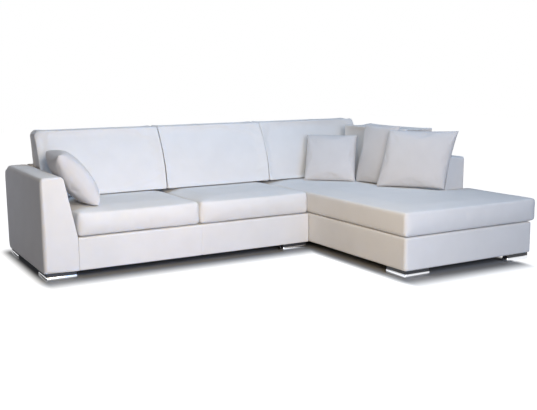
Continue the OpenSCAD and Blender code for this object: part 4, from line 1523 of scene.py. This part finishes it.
@dataclass
class Pillow:
    """A knife-edge pillow, blown up flat and then laid on its sloping face.

    Attributes:
        node: the frame's node.
        body: its body.
        corner: bottom left corner seen from its front, X and Y.
        size: width and height along its face.
        turn: turn about Z in degrees.
        tilt: backward tilt in degrees.
        slump: sideways shear.
        front: half depth towards the front.
        rear: half depth towards the rear.
        seed: shifts its folds.
        draw: how far its edges pull in between its corners, as a share of half its width.
        belly: exponent of its thickness, smaller for a fuller pillow.
        seam: how deep its seam lies in its edge.
        pucker: height of the small waves along its seam.
        cell: grid size.
        blown: share of the simulated form in its thickness, the rest is the plain one.
    """

    node: str
    body: str
    corner: Pair
    size: Pair
    turn: float
    tilt: float
    slump: float
    front: float
    rear: float
    seed: float
    draw: float = 0.05
    belly: float = 1.0
    seam: float = 0.003
    pucker: float = 0.0013
    cell: float = 0.0078
    blown: float = 0.45

    PUFF = Puff(pressure=3.0, cap=0.05, grow=0.02, bending=0.25, frames=18)
    # Turn from the diagonal in degrees, length and depth of the creases at each corner
    CREASES = ((-13.0, 0.15, 0.0032), (15.0, 0.12, 0.0026))
    # Length of the waves along the seam, and their distance from it and reach
    WAVE, WAVE_IN, WAVE_REACH = 0.036, 0.013, 0.011
    # Before it is blown: share of its half depths, exponent of its section, its waves' height
    START, START_POWER, START_WAVE = 0.75, 0.9, 0.002
    # Exponent of the plain section, and how far the corners stick out
    PLAIN_POWER, CORNERS_OUT = 0.62, 0.018
    # How far the creases turn from corner to corner in degrees, their width and its growth
    WOBBLE, CREASE_WIDTH, CREASE_GROWTH = 9.0, 0.005, 0.008

    def build(self, mats: Finishes) -> None:
        """Makes the pillow.

        Args:
            mats: the materials.
        """
        w, h = self.size
        us, vs = steps([-w / 2, w / 2], self.cell), steps([-h / 2, h / 2], self.cell)
        bm = lattice_box(us, vs, np.array([-0.001, 0.001]))
        obj = finish_mesh(bm, f"{self.node}_soft", mats.made[Slot.PILLOW])
        p = read_points(obj.data)
        u, v = p[:, 0] * 2 / w, p[:, 1] * 2 / h
        full = np.sqrt(np.clip((1 - u * u) * (1 - v * v), 0, 1))
        side = np.sign(p[:, 2])
        half = np.where(side > 0, self.front, self.rear)
        p[:, 2] += side * self.START * half * full ** self.START_POWER
        p[:, 2] += side * self.START_WAVE * full * hash_noise(p, 9.0, self.seed)
        write_points(obj.data, p)
        self.PUFF.run(obj, None)
        q = read_points(obj.data)
        plain = np.sign(q[:, 2]) * full ** self.PLAIN_POWER
        top = np.where(q[:, 2] > 0, q[:, 2].max(), -q[:, 2].min())
        q[:, 2] = self.blown * q[:, 2] + (1 - self.blown) * plain * top
        self.straighten(q, u, v, full)
        share = np.where(q[:, 2] > 0, q[:, 2] / q[:, 2].max(), q[:, 2] / -q[:, 2].min())
        half = np.where(q[:, 2] > 0, self.front, self.rear)
        q[:, 2] = np.sign(share) * half * np.abs(share) ** self.belly
        self.fold(q)
        write_points(obj.data, self.laid(q))
        relax(obj, 1)
        q = read_points(obj.data)
        q[:, 2] += SEAT_TOP + 2 * TOUCH - q[:, 2].min()
        write_points(obj.data, q)
        subdivide(obj)
        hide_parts(self.node)
        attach(obj, self.body)
        log.info("pillow %s: %d points", self.node, len(q))

    def fold(self, q: Points) -> None:
        """Presses creases in from the corners and waves along the seam.

        Args:
            q: rows of width, height and depth from the middle, changed here.
        """
        for k, (sx, sy) in enumerate(((-1, -1), (1, -1), (1, 1), (-1, 1))):
            tip = np.array([sx * self.size[0], sy * self.size[1]]) / 2
            for m, (spread, reach, deep) in enumerate(self.CREASES):
                wobble = self.WOBBLE * math.sin(self.seed * 3.7 + k * 2.3 + m * 1.9)
                angle = math.atan2(-tip[1], -tip[0]) + math.radians(spread + wobble)
                ahead = np.array([math.cos(angle), math.sin(angle)])
                off = q[:, :2] - tip
                along = off @ ahead
                across = off @ np.array([-ahead[1], ahead[0]])
                share = np.clip(along / reach, 0, 1)
                width = self.CREASE_WIDTH + self.CREASE_GROWTH * share
                ridge = np.exp(-(across / width) ** 2) * np.sin(math.pi * share) * (along > 0)
                q[:, 2] -= np.sign(q[:, 2]) * np.minimum(deep * ridge, 0.5 * np.abs(q[:, 2]))
        off = np.array(self.size) / 2 - np.abs(q[:, :2])
        run = np.where(off[:, 0] < off[:, 1], q[:, 1], q[:, 0])
        wave = np.sin(run * 2 * math.pi / self.WAVE + 4 * hash_noise(q, 3.0, self.seed))
        band = np.exp(-((off.min(1) - self.WAVE_IN) / self.WAVE_REACH) ** 2)
        q[:, 2] += np.sign(q[:, 2]) * self.pucker * wave * band

    def straighten(self, q: Points, u: Points, v: Points, full: Points) -> None:
        """Brings the outline back to its cut, with the edges drawn in a little.

        Args:
            q: the simulated points, changed here.
            u: each point's place along the width before, from -1 to 1.
            v: each point's place along the height before, from -1 to 1.
            full: 0 at the outline and 1 in the middle.
        """
        w, h = self.size
        q -= (q.max(0) + q.min(0)) / 2 * np.array([1, 1, 0])
        bow = 1 - full ** 2
        ear = 1 + self.CORNERS_OUT * np.abs(u * v) ** 8
        want_x = w / 2 * u * (1 - self.draw * (1 - v * v)) * ear
        want_y = h / 2 * v * (1 - self.draw * (1 - u * u)) * ear
        near = np.clip(bow, 0, 1) ** 3
        q[:, 0] += (want_x - q[:, 0]) * near
        q[:, 1] += (want_y - q[:, 1]) * near
        q[:, :2] *= np.where(bow > 0.9999, 1 - self.seam * 2 / w, 1.0)[:, None]

    def laid(self, q: Points) -> Points:
        """Lays flat points on the pillow's sloping face.

        Args:
            q: rows of width, height and depth from the middle, depth towards the front.
        Returns:
            Points in the sofa's space.
        """
        turn, tilt = math.radians(self.turn), math.radians(self.tilt)
        e = np.array([math.cos(turn), -math.sin(turn), 0.0])
        back = np.array([math.sin(turn), math.cos(turn), 0.0])
        up = back * math.sin(tilt) + np.array([0, 0, math.cos(tilt)]) + e * self.slump
        n = np.cross(e, up)
        n /= np.linalg.norm(n)
        w, h = self.size
        base = np.array([*self.corner, SEAT_TOP])
        return (base + np.outer(q[:, 0] + w / 2, e) + np.outer(q[:, 1] + h / 2, up)
                + np.outer(q[:, 2], n))


@dataclass
class SoftGoods:
    """All loose cushions and pillows."""

    def cushions(self) -> list[Cushion]:
        """The cushions of the seats, the backs and the side.

        Returns:
            The seven cushions.
        """
        arm_touch = LEFT + wall_at(SEAT_TOP) + TOUCH
        right_touch = RIGHT - wall_at(SEAT_TOP) - TOUCH
        front = SOFA_FRONT + SET_BACK
        return [
            seat(("seat_cushion_left", "seat_core_left", "seat_left"), LEFT_IN + GAP, SEAM - GAP,
                 front, 1.0),
            seat(("seat_cushion_right", "seat_core_right", "seat_right"), SEAM + GAP, SPLIT - GAP,
                 front, 2.3),
            seat(("chaise_cushion", "chaise_core", "chaise_seat"), SPLIT + GAP, CHAISE_END,
                 FRONT + SET_BACK, 3.1, True),
            back_rest(("back_cushion_left", "back_core_left", "back_left"), arm_touch - 0.024,
                      SEAM - GAP, 4.2, END_WEDGE, 0.025),
            back_rest(("back_cushion_middle", "back_core_middle", "back_middle"), SEAM + GAP,
                      SPLIT - GAP, 5.6),
            back_rest(("back_cushion_right", "back_core_right", "back_right"), SPLIT + GAP,
                      right_touch, 6.4),
            side_rest(("side_cushion", "side_core", "side_rest"), 0.735, 7.0),
        ]

    def pillows(self) -> list[Pillow]:
        """The throw pillows.

        Returns:
            The four pillows.
        """
        y = BACK_WEDGE.front[0]
        return [
            Pillow("pillow_left_arm", "arm_pillow", (LEFT_IN + 0.160, y - 0.417), (0.38, 0.39),
                   -86, 36, 0.05, 0.10, 0.080, 1.4, belly=0.95),
            Pillow("pillow_corner", "corner_pillow", (RIGHT_IN - 0.590, y - 0.053),
                   (0.390, 0.374), 46, 27, -0.04, 0.06, 0.04, 2.2, draw=0.008),
            Pillow("pillow_side", "side_pillow", (RIGHT_IN - 0.304, y - 0.321), (0.35, 0.436),
                   83.5, 13.4, 0.0, 0.05, 0.018, 3.9, draw=0.02),
            Pillow("pillow_front", "front_pillow", (RIGHT_IN - 0.346, y - 0.622),
                   (0.482, 0.404), 53, 10.3, 0.19, 0.075, 0.038, 5.1, draw=0.016),
        ]

    def build(self, mats: Finishes) -> None:
        """Makes all of them."""
        for piece in (*self.cushions(), *self.pillows()):
            piece.build(mats)


@dataclass(frozen=True)
class Lamp:
    """A square area lamp that the camera doesn't see.

    Attributes:
        name: its name.
        place: its place.
        target: what it looks at.
        size: its side.
        power: its power in watts.
        color: its colour.
        spread: its spread in degrees.
    """

    name: str
    place: Triple
    target: Triple
    size: float
    power: float
    color: Triple
    spread: float = 180.0

    def build(self) -> None:
        """Makes the lamp."""
        data = bpy.data.lights.new(self.name, "AREA")
        data.shape = "SQUARE"
        data.size = self.size
        data.spread = math.radians(self.spread)
        data.energy = self.power
        data.color = self.color
        lamp = bpy.data.objects.new(self.name, data)
        lamp.location = self.place
        ahead = Vector(self.target) - Vector(self.place)
        lamp.rotation_euler = ahead.to_track_quat("-Z", "Y").to_euler()
        lamp.visible_camera = False
        bpy.context.scene.collection.objects.link(lamp)
        log.info("lamp %s", self.name)


LAMPS = (
    Lamp("key", (-1.35, -5.0, 2.0), (-0.4, 0.2, 0.3), 2.5, 173.0, (1.0, 0.915, 0.87)),
    Lamp("left", (-1.1, -1.6, 1.25), (-0.7, 0.2, 0.35), 0.9, 17.0, (1.0, 0.82, 0.50)),
    Lamp("right", (0.4, -4.5, 1.8), (0.0, 0.2, 0.3), 2.5, 54.0, (0.12, 0.475, 1.0)),
    Lamp("low", (-0.2, -4.6, 0.7), (-1.2, 0.2, 0.3), 1.0, 3.6, (0.05, 0.32, 1.0), 50.0),
    Lamp("warm", (-0.9, -0.72, 0.42), (0.4, -0.55, 0.2), 0.5, 0.45, (1.0, 0.40, 0.0)),
    Lamp("rear", (0.6, 5.2, 2.2), (0.0, 0.5, 0.4), 2.5, 56.0, (0.97, 0.97, 1.0)),
    Lamp("top", (0.2, -0.2, 3.6), (0.1, 0.0, 0.0), 1.6, 53.0, (0.485, 0.705, 1.0)),
    Lamp("side", (-3.5, 1.8, 0.9), (-1.4, 0.5, 0.4), 1.0, 11.8, (0.765, 0.84, 1.0)),
)


@dataclass
class Studio:
    """Floor, light, background and camera.

    Attributes:
        eye: the camera's place.
        yaw: its turn to the right from straight back, in degrees.
        pitch: its downward tilt in degrees.
        roll: its roll in degrees.
        lens: its focal length in millimetres.
        grey: the floor's grey.
        reach: how far the painted shadow runs in front of the sofa.
        sideways: how much shorter it is sideways.
        mirrored: how much sooner the floor turns white in reflections, a painted reflection in the
            chrome.
        sky: colour of the light from all round.
        sky_light: its strength.
    """

    eye: Triple = (-2.606, -4.637, 1.197)
    yaw: float = 29.60
    pitch: float = 9.06
    roll: float = -0.52
    lens: float = 54.23
    grey: float = 0.30
    reach: float = 0.235
    sideways: float = 2.6
    mirrored: float = 3.0
    sky: Triple = (1.0, 0.74, 0.56)
    sky_light: float = 0.050

    def floor(self) -> None:
        """A grey floor lit by the lamps, with a white glow for the camera that fades out near the
        sofa: a painted shadow over its real one.
        """
        bm = bmesh.new()
        bmesh.ops.create_grid(bm, x_segments=1, y_segments=1, size=14.0)
        mat = bpy.data.materials.new("studio_floor")
        mat.use_nodes = True
        mat.node_tree.nodes.clear()
        tree = Tree(mat.node_tree)
        away = tree.group("PaintedFloorShadow", Reach=self.reach, Sideways=self.sideways)["Away"]
        ray = tree.node("LightPath").outputs
        # Painted shadow: the camera sees the floor's white glow fade out towards the sofa
        seen = tree.maths("MULTIPLY", ray["Is Camera Ray"], away)
        x = tree.node("SeparateXYZ", Vector=tree.place()).outputs["X"]
        # Painted reflection: mirrors see the floor glow white sooner than the camera does, and not
        # left of the sofa
        near = tree.maths("MULTIPLY", away, self.mirrored, clamp=True)
        shown = tree.maths("MULTIPLY", near, tree.maths("GREATER_THAN", x, LEFT))
        strength = tree.maths("MULTIPLY_ADD", ray["Is Glossy Ray"], shown, seen)
        glow = tree.node("Emission", Color=(1.0, 1.0, 1.0, 1.0), Strength=strength)
        diffuse = tree.node("BsdfDiffuse", Color=(self.grey, self.grey, self.grey, 1.0))
        both = tree.node("AddShader")
        tree.link(diffuse.outputs[0], both.inputs[0])
        tree.link(glow.outputs[0], both.inputs[1])
        tree.node("OutputMaterial", Surface=both.outputs[0])
        finish_mesh(bm, "studio_floor", mat)
        log.info("floor")

    def world(self) -> None:
        """Weak even light from all round, white where the camera or a mirror sees it."""
        world = bpy.data.worlds.new("studio")
        bpy.context.scene.world = world
        world.use_nodes = True
        world.node_tree.nodes.clear()
        tree = Tree(world.node_tree)
        light = tree.node("Background", Color=(*self.sky, 1.0), Strength=self.sky_light)
        white = tree.node("Background", Color=(1.0, 1.0, 1.0, 1.0), Strength=1.0)
        ray = tree.node("LightPath").outputs
        mix = tree.node("MixShader")
        tree.link(tree.maths("MAXIMUM", ray["Is Camera Ray"], ray["Is Glossy Ray"]), mix.inputs[0])
        tree.link(light.outputs[0], mix.inputs[1])
        tree.link(white.outputs[0], mix.inputs[2])
        tree.node("OutputWorld", Surface=mix.outputs[0])
        log.info("world")

    def camera(self) -> None:
        """The camera of the photograph."""
        y, p, r = (math.radians(a) for a in (self.yaw, self.pitch, self.roll))
        ahead = Vector((math.sin(y) * math.cos(p), math.cos(y) * math.cos(p), -math.sin(p)))
        right = Vector((math.cos(y), -math.sin(y), 0.0))
        up = right.cross(ahead)
        across = right * math.cos(r) + up * math.sin(r)
        upward = up * math.cos(r) - right * math.sin(r)
        turn = Matrix((across, upward, -ahead)).transposed().to_4x4()
        data = bpy.data.cameras.new("camera")
        data.lens = self.lens
        data.sensor_width = 36.0
        data.clip_end = 100.0
        cam = bpy.data.objects.new("camera", data)
        cam.matrix_world = Matrix.Translation(self.eye) @ turn
        bpy.context.scene.collection.objects.link(cam)
        bpy.context.scene.camera = cam
        log.info("camera")

    def build(self) -> None:
        """Sets up the whole studio."""
        bpy.context.scene.view_settings.view_transform = "Standard"
        self.floor()
        self.world()
        for lamp in LAMPS:
            lamp.build()
        self.camera()


@dataclass
class Sofa:
    """The dressed sofa."""

    finishes: Finishes = field(default_factory=Finishes)
    upholstery: Upholstery = field(default_factory=Upholstery)
    feet: Feet = field(default_factory=Feet)
    soft: SoftGoods = field(default_factory=SoftGoods)

    def build(self) -> None:
        """Paints the frame and makes the covers, the feet and the soft pieces."""
        self.finishes.build()
        self.finishes.paint_frame()
        self.upholstery.build(self.finishes)
        self.feet.build(self.finishes)
        self.soft.build(self.finishes)


def main() -> None:
    """Builds the scene."""
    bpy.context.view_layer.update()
    Sofa().build()
    Studio().build()


if __name__ == "__main__":
    main()
